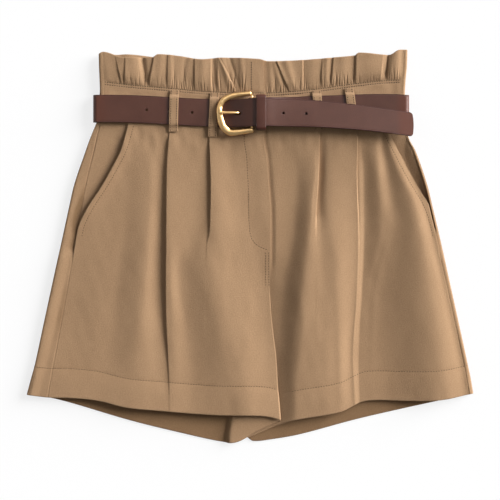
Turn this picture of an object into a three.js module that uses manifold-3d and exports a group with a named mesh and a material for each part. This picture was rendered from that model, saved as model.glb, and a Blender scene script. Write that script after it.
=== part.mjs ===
// Gathered waist shorts with a leather belt, laid flat on their back.
// Millimetres. +Z is up out of the front, +Y runs to the waist, the wearer's right leg is at -X.
import * as THREE from "three";
import { mergeVertices } from "three/addons/utils/BufferGeometryUtils.js";
import Module from "manifold-3d";

const wasm = await Module();
wasm.setup();

// Driving sizes
const TWILL = 1.3;            // wall of a cloth panel
const BAND = 1.4;             // wall of a waistband and its frill
const TAPE = 1.0;             // wall of a belt loop
const HEM_EXTRA = 0.5;        // how much thicker the turned hem is
const HEM_WIDTH = 32;
const SEAM = 0.3;             // space between two pieces that are sewn together
const WAIST_Y = 139;          // seam between the panels and the waistband
const SEAT_SEAM_X = 22.2;     // seam between the two back panels
const FRILL_PUFF = 1.3;       // how far the front frill stands off its seam
const BACK_FRILL_SINK = 1.8;
const BELT_THICK = 2.4;
const BELT_HALF = 15;         // half of the belt's width
const BELT_Y = 151.5;         // middle of the belt across the back
const HOLE_COUNT = 8;
const HOLE_PITCH = 25;
const HOLE_RADIUS = 1.5;
const FIRST_HOLE_X = -113.3;
const PRONG_HOLE_X = -12.5;
const PRONG_HOLE_RADIUS = 2.3;
const PRONG_HOLE_STRETCH = 1.7; // the prong's hole is a short slot along the strap
const PRONG_Y = 146.2;
const LOOP_WIDTH = 9.9;

// Heights of the middle of each layer above the surface that the shorts lie on
const BACK_Z = TWILL / 2;
const BACK_BELT_Z = TAPE + SEAM + BELT_THICK / 2;
const BACK_BAND_Z = TAPE + SEAM + BELT_THICK + SEAM + BAND / 2;
const BELT_LIFT = BACK_BAND_Z - BAND / 2;
const FRONT_BAND_Z = 7.8;
const FRONT_BELT_Z = 10;
const LAP = TWILL + SEAM;     // a layer on top of another
const LAPPED_BAND = BAND + SEAM;
const UNDER_LEG_Z = 3.05;     // front of the left leg where the right leg lies on it
const LEG_LIFT = 4.6;         // back of the right leg where it lies on the left leg

const clamp = (value, low, high) => Math.min(Math.max(value, low), high);
const mix = (a, b, t) => a + (b - a) * t;
const ease = (value, from, to) => {
  const t = clamp((value - from) / (to - from), 0, 1);
  return t * t * (3 - 2 * t);
};

// Smooth line through the rows of a table, from one named column to another
function along(rows, from, to, at) {
  const last = rows.length - 1;
  const place = clamp(at, rows[0][from], rows[last][from]);
  let i = 0;
  while (i < last - 1 && rows[i + 1][from] < place) i += 1;
  const slope = (k) => {
    const a = rows[Math.max(k - 1, 0)];
    const b = rows[Math.min(k + 1, last)];
    return (b[to] - a[to]) / (b[from] - a[from]);
  };
  const run = rows[i + 1][from] - rows[i][from];
  const t = (place - rows[i][from]) / run;
  const t2 = t * t;
  const t3 = t2 * t;
  return (2 * t3 - 3 * t2 + 1) * rows[i][to] + (t3 - 2 * t2 + t) * run * slope(i)
    + (3 * t2 - 2 * t3) * rows[i + 1][to] + (t3 - t2) * run * slope(i + 1);
}

// Outline, side seams and pocket mouths of the panels, a row for each height
const SIDES = [
  { y: -166, right: -246.5, rightSeam: -222.5, left: 247, leftSeam: 242.5 },
  { y: -132, right: -237.7, rightSeam: -216.6, left: 241, leftSeam: 238.5 },
  { y: -81, right: -226.7, rightSeam: -207, left: 230, leftSeam: 227.5 },
  { y: -29, right: -215.4, rightSeam: -198, left: 218.5, leftSeam: 216 },
  { y: 7, right: -207.5, rightSeam: -191.6, left: 210.6, leftSeam: 208.3 },
  { y: 43, right: -199.7, rightSeam: -185, left: 202.1, leftSeam: 198.8 },
  { y: 69, right: -193.7, rightSeam: -180.6, left: 195.7, leftSeam: 192 },
  { y: 105, right: -181.4, rightSeam: -172, left: 183.2, leftSeam: 179.6 },
  { y: 119, right: -176.2, rightSeam: -169, left: 175.6, leftSeam: 172.2 },
  { y: 139, right: -168, rightSeam: -164, left: 171.4, leftSeam: 167.6 },
];
const POCKETS = [
  { y: 7, right: -191.6, left: 208.3 },
  { y: 22, right: -188.4, left: 205.2 },
  { y: 44, right: -177.5, left: 198 },
  { y: 65, right: -163.5, left: 185.3 },
  { y: 86, right: -151.5, left: 173.4 },
  { y: 107, right: -141.1, left: 162.6 },
  { y: 139, right: -132.5, left: 146 },
];
// Fly edge of the right front, which goes on as the inner fold of the right leg
const INNER = [
  { y: -191, x: 34.3 },
  { y: -155, x: 31.4 },
  { y: -122, x: 29.4 },
  { y: -95, x: 26.1 },
  { y: -59, x: 22.8 },
  { y: -19, x: 23.3 },
  { y: 40, x: 23.3 },
  { y: 69, x: 21.1 },
  { y: 98, x: 18.9 },
  { y: 115, x: 15.8 },
  { y: 139, x: 16 },
];
// Inner edge of the left front: the underlap of the fly, the crotch, then the hidden inner fold
const UNDER_EDGE = [
  { y: -209, x: -2.3 },
  { y: -130, x: 10.8 },
  { y: -60, x: 22.8 },
  { y: -50, x: 24.6 },
  { y: -42, x: 24 },
  { y: -18, x: 8 },
  { y: 139, x: 4 },
];
const EDGE_HEIGHT = [
  { y: -165, z: 6.9, puff: 2.2 },
  { y: -100, z: 7, puff: 2.3 },
  { y: -30, z: 7.4, puff: 2.1 },
  { y: 5, z: 7.9, puff: 1.9 },
  { y: 60, z: 7.9, puff: 1.3 },
  { y: 105, z: 7.9, puff: 0.6 },
  { y: 139, z: 7.85, puff: 0 },
];
// Lower edges, a row for each place across
const HEM_RIGHT_FRONT = [
  { x: -246, y: -163.2 },
  { x: -222.7, y: -166 },
  { x: -196.7, y: -166.6 },
  { x: -168.7, y: -169.2 },
  { x: -135.1, y: -177 },
  { x: -101, y: -180.4 },
  { x: -40.5, y: -185.1 },
  { x: 6.2, y: -185.7 },
  { x: 22.2, y: -187.3 },
  { x: 34.3, y: -191 },
];
const HEM_RIGHT_BACK = [
  { x: -246, y: -163.2 },
  { x: -222.6, y: -166.4 },
  { x: -196.7, y: -172.7 },
  { x: -135.1, y: -191 },
  { x: -84.5, y: -203.6 },
  { x: -25.6, y: -216.2 },
  { x: -11.9, y: -214.6 },
  { x: 8.3, y: -203.1 },
  { x: 34.3, y: -191 },
];
const HEM_LEFT_FRONT = [
  { x: -2.3, y: -211 },
  { x: 29.3, y: -197.4 },
  { x: 49, y: -190.8 },
  { x: 99.2, y: -181.8 },
  { x: 121.9, y: -171.5 },
  { x: 137.2, y: -169.2 },
  { x: 175.1, y: -169.7 },
  { x: 210.3, y: -168.4 },
  { x: 245.5, y: -161.8 },
];
const HEM_LEFT_BACK = [
  { x: -2.3, y: -210.6 },
  { x: 3.4, y: -214.6 },
  { x: 22.2, y: -213 },
  { x: 55.2, y: -207.2 },
  { x: 115.7, y: -191 },
  { x: 165.2, y: -179.5 },
  { x: 211.4, y: -169.4 },
  { x: 245.5, y: -161.8 },
];

// Knife pleats: over is +1 where the side towards +X lies on top
const PLEATS = [
  {
    leg: "right", over: 1,
    line: [
      { y: -165, x: -86.5, high: 0, low: 0.2 },
      { y: -114, x: -87.8, high: 0.3, low: 0.5 },
      { y: -60, x: -90.8, high: 1.1, low: 1 },
      { y: 18, x: -91.1, high: 1.8, low: 1.8 },
      { y: 83, x: -90.5, high: 2, low: 1.5 },
      { y: 120, x: -88.6, high: 1.4, low: 1 },
      { y: 139, x: -88, high: 0.1, low: 0.1 },
    ],
  },
  {
    leg: "right", over: 1,
    line: [
      { y: -165, x: -50, high: 0, low: 0 },
      { y: 0, x: -47.5, high: 0, low: 0.2 },
      { y: 20, x: -43.8, high: 0.8, low: 0.8 },
      { y: 50, x: -42.2, high: 1.6, low: 1.3 },
      { y: 84, x: -42.4, high: 1.9, low: 1.4 },
      { y: 118, x: -43.8, high: 1.4, low: 1 },
      { y: 139, x: -44.4, high: 0.1, low: 0.1 },
    ],
  },
  {
    leg: "left", over: -1,
    line: [
      { y: -165, x: 74, high: 0, low: 0 },
      { y: -50, x: 77, high: 0.4, low: 0.2 },
      { y: -4, x: 75, high: 0.9, low: 0.6 },
      { y: 30, x: 74.4, high: 1.6, low: 1.3 },
      { y: 80, x: 77.2, high: 2, low: 1.8 },
      { y: 120, x: 77.7, high: 1.4, low: 1 },
      { y: 139, x: 78, high: 0.1, low: 0.1 },
    ],
  },
  {
    leg: "left", over: -1,
    line: [
      { y: -165, x: 121, high: 0.5, low: 0.3 },
      { y: -123, x: 117.4, high: 0.7, low: 0.4 },
      { y: -59, x: 121.8, high: 1.2, low: 1 },
      { y: 7, x: 123, high: 1.7, low: 1.7 },
      { y: 76, x: 120.5, high: 1.8, low: 1.6 },
      { y: 115, x: 118.4, high: 1.3, low: 1 },
      { y: 139, x: 118, high: 0.1, low: 0.1 },
    ],
  },
];
const CREASE = 1.2;           // half of the width of a pleat's step
const PLEAT_SPREAD = 30;      // how far the upper side of a pleat takes to level out
const TROUGH_SPREAD = 9;

// Soft folds of the fronts, each from its upper end to its lower end
const SOFT_FOLDS = [
  { leg: "right", topY: 40, topX: -131, endY: -150, endX: -157, wide: 10, high: -1.1 },
  { leg: "right", topY: 30, topX: -71, endY: -150, endX: -43, wide: 10, high: -1 },
  { leg: "right", topY: 40, topX: -14, endY: -140, endX: 15, wide: 8, high: 1 },
  { leg: "left", topY: 20, topX: 133, endY: -150, endX: 162, wide: 14, high: -1.6 },
  { leg: "left", topY: 110, topX: 152, endY: -80, endX: 178, wide: 9, high: -0.8 },
  { leg: "left", topY: 0, topX: 194, endY: -90, endX: 206, wide: 10, high: 0.7 },
  { leg: "left", topY: 60, topX: 40, endY: -60, endX: 58, wide: 9, high: -0.9 },
];

// One row for each fold of the frill: where it starts at the seam and ends at the top
const FRILL_FOLDS = [
  { piece: "right", base: -147.8, top: -145.6, wide: 2.4, high: -1.2 },
  { piece: "right", base: -128.5, top: -130, wide: 8, high: 1.8 },
  { piece: "right", base: -113.5, top: -122, wide: 4.5, high: -2.6 },
  { piece: "right", base: -107, top: -108.4, wide: 3.5, high: 1.6 },
  { piece: "right", base: -91, top: -92, wide: 2.4, high: -1.2 },
  { piece: "right", base: -85, top: -87, wide: 2.6, high: 0.8 },
  { piece: "right", base: -78, top: -79, wide: 2.6, high: 1 },
  { piece: "right", base: -70, top: -72, wide: 2.6, high: 0.8 },
  { piece: "right", base: -60.9, top: -61, wide: 2.6, high: -2 },
  { piece: "right", base: -53, top: -52, wide: 6, high: 1.6 },
  { piece: "right", base: -40, top: -41.5, wide: 3.5, high: -2.2 },
  { piece: "right", base: -17, top: -35, wide: 4, high: 2 },
  { piece: "right", base: -11, top: -16, wide: 2.6, high: 1 },
  { piece: "left", base: 25, top: 21, wide: 3, high: 1 },
  { piece: "left", base: 43, top: 28, wide: 3.6, high: -2.4 },
  { piece: "left", base: 53, top: 40, wide: 3.6, high: 1.6 },
  { piece: "left", base: 58.5, top: 58.5, wide: 2.4, high: -1.4 },
  { piece: "left", base: 68, top: 68, wide: 8, high: 0.8 },
  { piece: "left", base: 78.3, top: 78.3, wide: 2.4, high: -1.4 },
  { piece: "left", base: 84, top: 84, wide: 3.6, high: 1.2 },
  { piece: "left", base: 88, top: 92, wide: 3.5, high: -2.4 },
  { piece: "left", base: 103, top: 104, wide: 8, high: 1.8 },
  { piece: "left", base: 116, top: 116, wide: 2.6, high: -2.2 },
  { piece: "left", base: 134, top: 134, wide: 13, high: 2 },
  { piece: "left", base: 150, top: 152, wide: 4.5, high: -2.6 },
  { piece: "left", base: 161, top: 163, wide: 6, high: 1.6 },
  { piece: "back", base: -130, top: -133, wide: 9, high: 1.4 },
  { piece: "back", base: -100, top: -96, wide: 6, high: -1 },
  { piece: "back", base: -74, top: -78, wide: 9, high: 1.5 },
  { piece: "back", base: -45, top: -42, wide: 6, high: -1 },
  { piece: "back", base: -18, top: -20, wide: 9, high: 1.4 },
  { piece: "back", base: 10, top: 12, wide: 6, high: -1 },
  { piece: "back", base: 38, top: 35, wide: 9, high: 1.5 },
  { piece: "back", base: 66, top: 69, wide: 6, high: -1 },
  { piece: "back", base: 95, top: 92, wide: 9, high: 1.4 },
  { piece: "back", base: 124, top: 127, wide: 6, high: -1 },
  { piece: "back", base: 146, top: 144, wide: 7, high: 1.2 },
];
// Seam under the frill, and the frill's own upper edges
const FRILL_SEAM = [
  { x: -165, y: 181.5 },
  { x: -132, y: 177.6 },
  { x: -88, y: 173.8 },
  { x: -44, y: 170 },
  { x: 16, y: 168.6 },
  { x: 65, y: 172 },
  { x: 121, y: 179.5 },
  { x: 153, y: 182.6 },
  { x: 171, y: 183 },
];
const BACK_FRILL_SEAM = [
  { x: -165, y: 181.5 },
  { x: -130, y: 178 },
  { x: 0, y: 176 },
  { x: 130, y: 178 },
  { x: 171, y: 183 },
];
const FRILL_TOP = [
  { x: -166, y: 211.6 },
  { x: -161.5, y: 213.8 },
  { x: -153.8, y: 212.4 },
  { x: -142.3, y: 208.2 },
  { x: -106.5, y: 207.8 },
  { x: -101, y: 210.9 },
  { x: -77, y: 209 },
  { x: -53.4, y: 205.4 },
  { x: -32, y: 207.2 },
  { x: 10, y: 205.6 },
  { x: 20.5, y: 203.3 },
  { x: 57.4, y: 204.6 },
  { x: 90, y: 207.2 },
  { x: 115.3, y: 209.8 },
  { x: 119.5, y: 212.6 },
  { x: 153.9, y: 210.6 },
  { x: 163, y: 215.6 },
  { x: 172, y: 216.2 },
];
const BACK_FRILL_TOP = [
  { x: -166, y: 211.6 },
  { x: -148, y: 211.8 },
  { x: -125, y: 210.8 },
  { x: -90, y: 206.5 },
  { x: 0, y: 201 },
  { x: 90, y: 204 },
  { x: 150, y: 209.5 },
  { x: 172, y: 216.2 },
];
const BAND_SIDES = [
  { y: 139, right: -168.7, rightSeam: -164.4, left: 171.2, leftSeam: 167.4 },
  { y: 168, right: -165.2, rightSeam: -160.6, left: 170.8, leftSeam: 167 },
  { y: 183, right: -165.4, rightSeam: -160.6, left: 171.6, leftSeam: 167.8 },
  { y: 198, right: -166, rightSeam: -161, left: 173, leftSeam: 169.2 },
  { y: 216, right: -166.4, rightSeam: -161.4, left: 173.6, leftSeam: 169.8 },
];

// Panel rows: heights shared by all four panels, then places above the hem
const PANEL_ROWS = [139, 131, 122, 108, 90, 70, 48, 26, 7, -8, -22, -34, -44, -54, -66, -88, -114];
const HEM_ROWS = [HEM_WIDTH + 1, HEM_WIDTH - 1, 14, 0];

const signOf = (leg) => (leg === "right" ? -1 : 1);
const backLift = (y) => BELT_LIFT * ease(y, 98, 124);
const pocketLevel = (y) => ease(y, -16, 2);

// Height of the front's middle before the fold radius at its outer edge is known
const edgeLevel = (y) => along(EDGE_HEIGHT, "y", "z", y) - LAP * pocketLevel(y);
const foldRadius = (y) => (edgeLevel(y) - BACK_Z - backLift(y)) / 2;
const foldStart = (leg, y) => along(SIDES, "y", leg, y) - signOf(leg) * (foldRadius(y) + TWILL / 2);
// The side seam lies on the front face, at least a little inside the fold
function sideSeam(leg, y) {
  const sign = signOf(leg);
  return sign * Math.min(sign * along(SIDES, "y", `${leg}Seam`, y), sign * foldStart(leg, y) - 1);
}

function pleatHeight(leg, x, y) {
  let height = 0;
  for (const pleat of PLEATS.filter((one) => one.leg === leg)) {
    const dx = (x - along(pleat.line, "y", "x", y)) * pleat.over;
    const climb = clamp((dx + CREASE) / (2 * CREASE), 0, 1);
    height += climb * along(pleat.line, "y", "high", y) * Math.exp(-Math.max(dx - CREASE, 0) / PLEAT_SPREAD);
    height -= (1 - climb) * along(pleat.line, "y", "low", y) * Math.exp(Math.min(dx + CREASE, 0) / TROUGH_SPREAD);
  }
  return height;
}

function softHeight(leg, x, y) {
  let height = 0;
  for (const fold of SOFT_FOLDS.filter((one) => one.leg === leg)) {
    const t = (fold.topY - y) / (fold.topY - fold.endY);
    const fade = ease(t, 0, 0.3) * (1 - 0.6 * ease(t, 0.8, 1.1));
    const dx = (x - mix(fold.topX, fold.endX, t)) / fold.wide;
    height += fold.high * fade * Math.exp(-dx * dx);
  }
  return height;
}

// Height of the middle of a front panel
function frontHeight(leg, x, y) {
  const inside = Math.abs(x - foldStart(leg, y));
  const fromFly = leg === "left" ? ease(x, 14, 60) : 1 - 0.8 * ease(x, -30, 20);
  const calm = ease(y, 139, 110);
  const puff = along(EDGE_HEIGHT, "y", "puff", y) * (1 - Math.exp(-((inside / 28) ** 2))) * fromFly;
  let z = along(EDGE_HEIGHT, "y", "z", y) + puff;
  z += (pleatHeight(leg, x, y) + softHeight(leg, x, y)) * calm * ease(inside, 0, 12);
  if (leg === "right") return z + LAP * ease(x, -26, 2);
  const under = (1 - ease(x, 37, 60)) * ease(-y, 34, 54);
  return mix(z, UNDER_LEG_Z, under);
}

// Height of the layer just under the front at a pocket, which is also the folded-over back
const facingHeight = (leg, x, y) => frontHeight(leg, x, y) - LAP * pocketLevel(y);

// Height of the middle of a back panel where it lies on the surface
function backHeight(leg, x, y) {
  const z = BACK_Z + backLift(y);
  if (leg === "left") return z;
  const start = along(UNDER_EDGE, "y", "x", Math.min(y, -54)) - 25;
  return z + LEG_LIFT * ease(x, start, start + 14) * ease(-y, 18, 42);
}

// Closed wall around a grid of points through its middle, rows by columns
function wall(grid, thickness) {
  const rows = grid.length;
  const columns = grid[0].length;
  const upper = [];
  const lower = [];
  for (let r = 0; r < rows; r += 1) {
    for (let c = 0; c < columns; c += 1) {
      const down = new THREE.Vector3().subVectors(
        grid[Math.min(r + 1, rows - 1)][c], grid[Math.max(r - 1, 0)][c]);
      const before = grid[r][Math.max(c - 1, 0)];
      const after = grid[r][Math.min(c + 1, columns - 1)];
      const across = new THREE.Vector3().subVectors(after, grid[r][c]).normalize()
        .add(new THREE.Vector3().subVectors(grid[r][c], before).normalize());
      const normal = down.cross(across).normalize();
      const half = (typeof thickness === "function" ? thickness(r, c) : thickness) / 2;
      upper.push(grid[r][c].clone().addScaledVector(normal, half));
      lower.push(grid[r][c].clone().addScaledVector(normal, -half));
    }
  }
  const at = (r, c) => r * columns + c;
  const other = upper.length;
  const faces = [];
  for (let r = 0; r < rows - 1; r += 1) {
    for (let c = 0; c < columns - 1; c += 1) {
      const [a, b, d, e] = [at(r, c), at(r + 1, c), at(r + 1, c + 1), at(r, c + 1)];
      faces.push(a, b, d, a, d, e);
      faces.push(other + a, other + d, other + b, other + a, other + e, other + d);
    }
  }
  const rim = [];
  for (let r = 0; r < rows - 1; r += 1) rim.push([at(r, 0), at(r + 1, 0)]);
  for (let c = 0; c < columns - 1; c += 1) rim.push([at(rows - 1, c), at(rows - 1, c + 1)]);
  for (let r = rows - 1; r > 0; r -= 1) rim.push([at(r, columns - 1), at(r - 1, columns - 1)]);
  for (let c = columns - 1; c > 0; c -= 1) rim.push([at(0, c), at(0, c - 1)]);
  for (const [p, q] of rim) faces.push(q, p, other + p, q, other + p, other + q);
  const geometry = new THREE.BufferGeometry();
  const points = [...upper, ...lower].flatMap((point) => point.toArray());
  geometry.setAttribute("position", new THREE.Float32BufferAttribute(points, 3));
  geometry.setIndex(faces);
  geometry.computeVertexNormals();
  return geometry;
}

// Heights of the rows of one column, whose hem is at hemY
const rowHeights = (hemY, top = WAIST_Y - SEAM / 2) => [
  top, ...PANEL_ROWS.slice(1), ...HEM_ROWS.map((above) => hemY + above)];
const panelWall = (r) => TWILL + (r >= PANEL_ROWS.length + 1 ? HEM_EXTRA : 0);

// Finds the height of row r for a column whose x is across(y), with its own hem line
function columnPoints(across, hem, height) {
  const rows = PANEL_ROWS.length + HEM_ROWS.length;
  const column = [];
  for (let r = 0; r < rows; r += 1) {
    let y = PANEL_ROWS[Math.min(r, PANEL_ROWS.length - 1)];
    let x = across(y);
    for (let pass = 0; pass < 4; pass += 1) {
      y = rowHeights(along(hem, "x", "y", x))[r];
      x = across(y);
    }
    column.push(new THREE.Vector3(x, y, height(x, y) + (panelWall(r) - TWILL) / 2));
  }
  return column;
}
const rowsFrom = (columns) => columns[0].map((_, r) => columns.map((column) => column[r]));

// A front panel, its columns gathered close to the creases of its two pleats
function frontPanel(leg) {
  const hem = leg === "right" ? HEM_RIGHT_FRONT : HEM_LEFT_FRONT;
  const [first, second] = PLEATS.filter((pleat) => pleat.leg === leg)
    .map((pleat) => (y) => along(pleat.line, "y", "x", y));
  const sign = signOf(leg);
  const pocketEdge = (y) => (y > POCKETS[0].y ? sign * along(POCKETS, "y", leg, y) : Infinity);
  const mouth = (y) => sign * Math.min(sign * sideSeam(leg, y), pocketEdge(y));
  const outer = (y) => mouth(y) - sign * SEAM / 2;
  const inner = leg === "right"
    ? (y) => along(INNER, "y", "x", y) - TWILL / 2 - innerFold(y).run
    : (y) => along(UNDER_EDGE, "y", "x", y);
  const guides = leg === "right" ? [outer, first, second, inner] : [inner, first, second, outer];
  const between = [[0, 4], [1, 2], [2, 3]];
  const beside = 8;
  const creaseSteps = [-beside, -CREASE, CREASE, beside];
  const places = [guides[0]];
  between.forEach(([span, count], index) => {
    const from = index === 0 ? 0 : beside;
    const to = index === 2 ? 0 : -beside;
    for (let i = 1; i <= count; i += 1) {
      places.push((y) => mix(guides[span](y) + from, guides[span + 1](y) + to, i / (count + 1)));
    }
    if (index < 2) creaseSteps.forEach((step) => places.push((y) => guides[span + 1](y) + step));
  });
  places.push(guides[3]);
  const columns = places.map((place) => columnPoints(place, hem, (x, y) => frontHeight(leg, x, y)));
  if (leg === "right") {
    const curl = [0.25, 0.5, 0.75, 1].map((part) => curlColumn(columns[columns.length - 1], part, 1));
    columns.push(...curl);
  }
  return wall(rowsFrom(columns), panelWall);
}

// The inner fold of the right leg: how far it turns and the length of cloth in it
function innerFold(y) {
  const x = along(INNER, "y", "x", y);
  const radius = (frontHeight("right", x - 3, y) - BACK_Z - LEG_LIFT) / 2 - 1.5 * SEAM;
  const turn = Math.max(0.001, ease(-y, 42, 62) * Math.PI / 2);
  const length = radius * Math.PI / 2;
  return { turn, length, run: length * Math.sin(turn) / turn };
}
function curlColumn(edge, part, sense) {
  return edge.map((point) => {
    const { turn, length } = innerFold(point.y);
    const angle = turn * part;
    return new THREE.Vector3(
      point.x + length / turn * Math.sin(angle), point.y,
      point.z - sense * length / turn * (1 - Math.cos(angle)));
  });
}

// A back panel: flat from its inner edge, round the outer fold, then over to the side seam
function backPanel(leg) {
  const sign = signOf(leg);
  const hemUnder = leg === "right" ? HEM_RIGHT_BACK : HEM_LEFT_BACK;
  const hemOver = leg === "right" ? HEM_RIGHT_FRONT : HEM_LEFT_FRONT;
  const inner = (y) => {
    if (leg === "left") return mix(SEAT_SEAM_X + SEAM / 2, along(UNDER_EDGE, "y", "x", y), ease(-y, 42, 50));
    const fold = along(INNER, "y", "x", y) - TWILL / 2 - innerFold(y).run;
    return mix(SEAT_SEAM_X - SEAM / 2 - innerFold(y).length, fold, ease(-y, 42, 58));
  };
  const flat = (part) => (y) => mix(inner(y), foldStart(leg, y), part);
  const parts = leg === "right" ? [0, 0.07, 0.14, 0.2, 0.27, 0.36, 0.5, 0.7, 0.87, 0.96, 1]
    : [0, 0.06, 0.14, 0.25, 0.42, 0.6, 0.78, 0.92, 1];
  const columns = parts.map((part) => columnPoints(flat(part), hemUnder, (x, y) => backHeight(leg, x, y)));
  if (leg === "right") {
    columns.unshift(...[1, 0.66, 0.33].map((part) => curlColumn(columns[0], part, -1)));
  }
  for (const angle of [30, 60, 90, 120, 150].map(THREE.MathUtils.degToRad)) {
    columns.push(columnPoints((y) => foldStart(leg, y) + sign * foldRadius(y) * Math.sin(angle), hemOver,
      (x, y) => BACK_Z + backLift(y) + foldRadius(y) * (1 - Math.cos(angle))));
  }
  const seam = (y) => sideSeam(leg, y) + sign * SEAM / 2;
  for (const part of [0, 0.5, 1]) {
    columns.push(columnPoints((y) => mix(foldStart(leg, y), seam(y), part), hemOver,
      (x, y) => facingHeight(leg, x, y)));
  }
  return wall(rowsFrom(columns), panelWall);
}

// The facing that shows in a slanted pocket, from the side seam to under the mouth
function hipFacing(leg) {
  const sign = signOf(leg);
  const underlap = 13;
  const rows = [WAIST_Y - SEAM / 2, 131, 122, 108, 90, 70, 48, 26, 7, 2];
  const grid = rows.map((y) => [0, 0.34, 0.67, 1].map((part) => {
    const seam = sideSeam(leg, y) - sign * SEAM / 2;
    const x = mix(seam, along(POCKETS, "y", leg, y) - sign * underlap, part);
    return new THREE.Vector3(x, y, facingHeight(leg, x, y));
  }));
  return wall(leg === "right" ? grid : grid.map((row) => row.reverse()), TWILL);
}

// The frill puffs away from the seam, and its folds fade out towards the piece's ends
function frillWave(piece, x, y, top, fade) {
  const seam = along(piece === "back" ? BACK_FRILL_SEAM : FRILL_SEAM, "x", "y", x);
  const t = clamp((y - seam) / (top - seam), -1, 1);
  let height = 0;
  for (const fold of FRILL_FOLDS.filter((one) => one.piece === piece)) {
    const dx = (x - mix(fold.base, fold.top, t)) / fold.wide;
    height += fold.high * Math.exp(-dx * dx);
  }
  return (height * fade.folds + (piece === "back" ? -BACK_FRILL_SINK : FRILL_PUFF) * fade.puff) * ease(t, -0.12, 0.4);
}

const bandRows = (topY, seamY) => [
  topY, ...[0.3, 0.6, 0.85].map((part) => mix(topY, seamY, part)), seamY - 3, 158, WAIST_Y + SEAM / 2];

// A front waistband with its frill above the seam
function frontBand(leg, from, to, count) {
  const columns = [];
  for (let i = 0; i <= count; i += 1) {
    const part = i / count;
    const topY = along(FRILL_TOP, "x", "y", mix(from(200), to(200), part));
    const seamY = along(FRILL_SEAM, "x", "y", mix(from(200), to(200), part));
    columns.push(bandRows(topY, seamY).map((y) => {
      const x = mix(from(y), to(y), part);
      const lapped = leg === "right" ? LAPPED_BAND * ease(x, -26, 0) : 0;
      const side = Math.abs(x - (leg === "right" ? from(y) : to(y)));
      const end = Math.min(Math.abs(x - from(y)), Math.abs(x - to(y)));
      const fade = { folds: ease(end, 0, 6), puff: ease(side, 0, 15) };
      return new THREE.Vector3(x, y, FRONT_BAND_Z + lapped + frillWave(leg, x, y, topY, fade));
    }));
  }
  return wall(rowsFrom(columns), BAND);
}

// The back waistband with its frill, folded round both edges to the side seams
function backBand() {
  const radius = (FRONT_BAND_Z - BACK_BAND_Z) / 2;
  const start = (leg, y) => along(BAND_SIDES, "y", leg, y) - signOf(leg) * (radius + BAND / 2);
  const columns = [];
  const column = (across, height, top) => {
    const topY = along(top, "x", "y", across(200));
    const rows = bandRows(topY, along(BACK_FRILL_SEAM, "x", "y", across(200)));
    columns.push(rows.map((y) => new THREE.Vector3(across(y), y, height(across(y), y, topY))));
  };
  const fold = (leg) => {
    const sign = signOf(leg);
    const seam = (y) => along(BAND_SIDES, "y", `${leg}Seam`, y) + sign * SEAM / 2;
    const over = [seam, (y) => start(leg, y)];
    over.forEach((across) => column(across, () => FRONT_BAND_Z, FRILL_TOP));
    for (const angle of [150, 120, 90, 60, 30].map(THREE.MathUtils.degToRad)) {
      column((y) => start(leg, y) + sign * radius * Math.sin(angle),
        () => BACK_BAND_Z + radius * (1 - Math.cos(angle)), FRILL_TOP);
    }
  };
  fold("right");
  const count = 34;
  for (let i = 0; i <= count; i += 1) {
    const inward = ease(Math.min(i, count - i), 0, 3);
    column((y) => mix(start("right", y), start("left", y), i / count),
      (x, y, topY) => BACK_BAND_Z + frillWave("back", x, y, topY, { folds: inward, puff: inward }),
      BACK_FRILL_TOP);
  }
  const middle = columns.length;
  fold("left");
  columns.push(...columns.splice(middle).reverse());
  return wall(rowsFrom(columns), BAND);
}

// A belt loop: a tape along Y whose ends lie against the band
function loop(path, topX, bottomX) {
  const columns = path.map(({ y, z }, i) => {
    const x = mix(topX, bottomX, i / (path.length - 1));
    return [x - LOOP_WIDTH / 2, x + LOOP_WIDTH / 2].map((edge) => new THREE.Vector3(edge, y, z));
  });
  return wall(columns, TAPE);
}
function frontLoop({ topX, bottomX, topY, bottomY, beltY, bottomZ }) {
  const over = FRONT_BELT_Z + BELT_THICK / 2 + 1.9 * SEAM + TAPE / 2;
  const band = FRONT_BAND_Z + BAND / 2 + SEAM + TAPE / 2;
  const upper = beltY + BELT_HALF;
  const lower = beltY - BELT_HALF;
  return loop([
    { y: topY, z: band + 0.4 },
    { y: upper + 2.6, z: band + 0.5 },
    { y: upper + 1.4, z: over - 1.1 },
    { y: upper - 0.6, z: over },
    { y: beltY, z: over },
    { y: lower + 0.6, z: over },
    { y: lower - 1.4, z: over - 0.9 },
    { y: lower - 3, z: bottomZ + 0.6 },
    { y: bottomY, z: bottomZ },
  ], topX, bottomX);
}
function backLoop(x) {
  const seat = BELT_LIFT - SEAM - TAPE / 2;
  return loop([
    { y: BELT_Y + BELT_HALF + 6, z: seat },
    { y: BELT_Y + BELT_HALF + 4.5, z: seat },
    { y: BELT_Y + BELT_HALF + 2, z: TAPE / 2 },
    { y: BELT_Y - BELT_HALF - 2, z: TAPE / 2 },
    { y: BELT_Y - BELT_HALF - 4.5, z: seat },
    { y: BELT_Y - BELT_HALF - 10, z: seat },
  ], x, x);
}

// Belt: bar of the buckle, stations of the strap's middle line
const BAR = { x: 2.4, z: 14.7, radius: 1.5 };
const WRAP = BAR.radius + SEAM + BELT_THICK / 2;
const EYE_RADIUS = BAR.radius + SEAM + 1.4; // outside of the prong's eye
const RIGHT_TURN = { x: -167.6, radius: (FRONT_BELT_Z - BACK_BELT_Z) / 2 };
const LEFT_TURN = { x: 170.6, radius: RIGHT_TURN.radius };
const TURN_Z = (FRONT_BELT_Z + BACK_BELT_Z) / 2;
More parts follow.
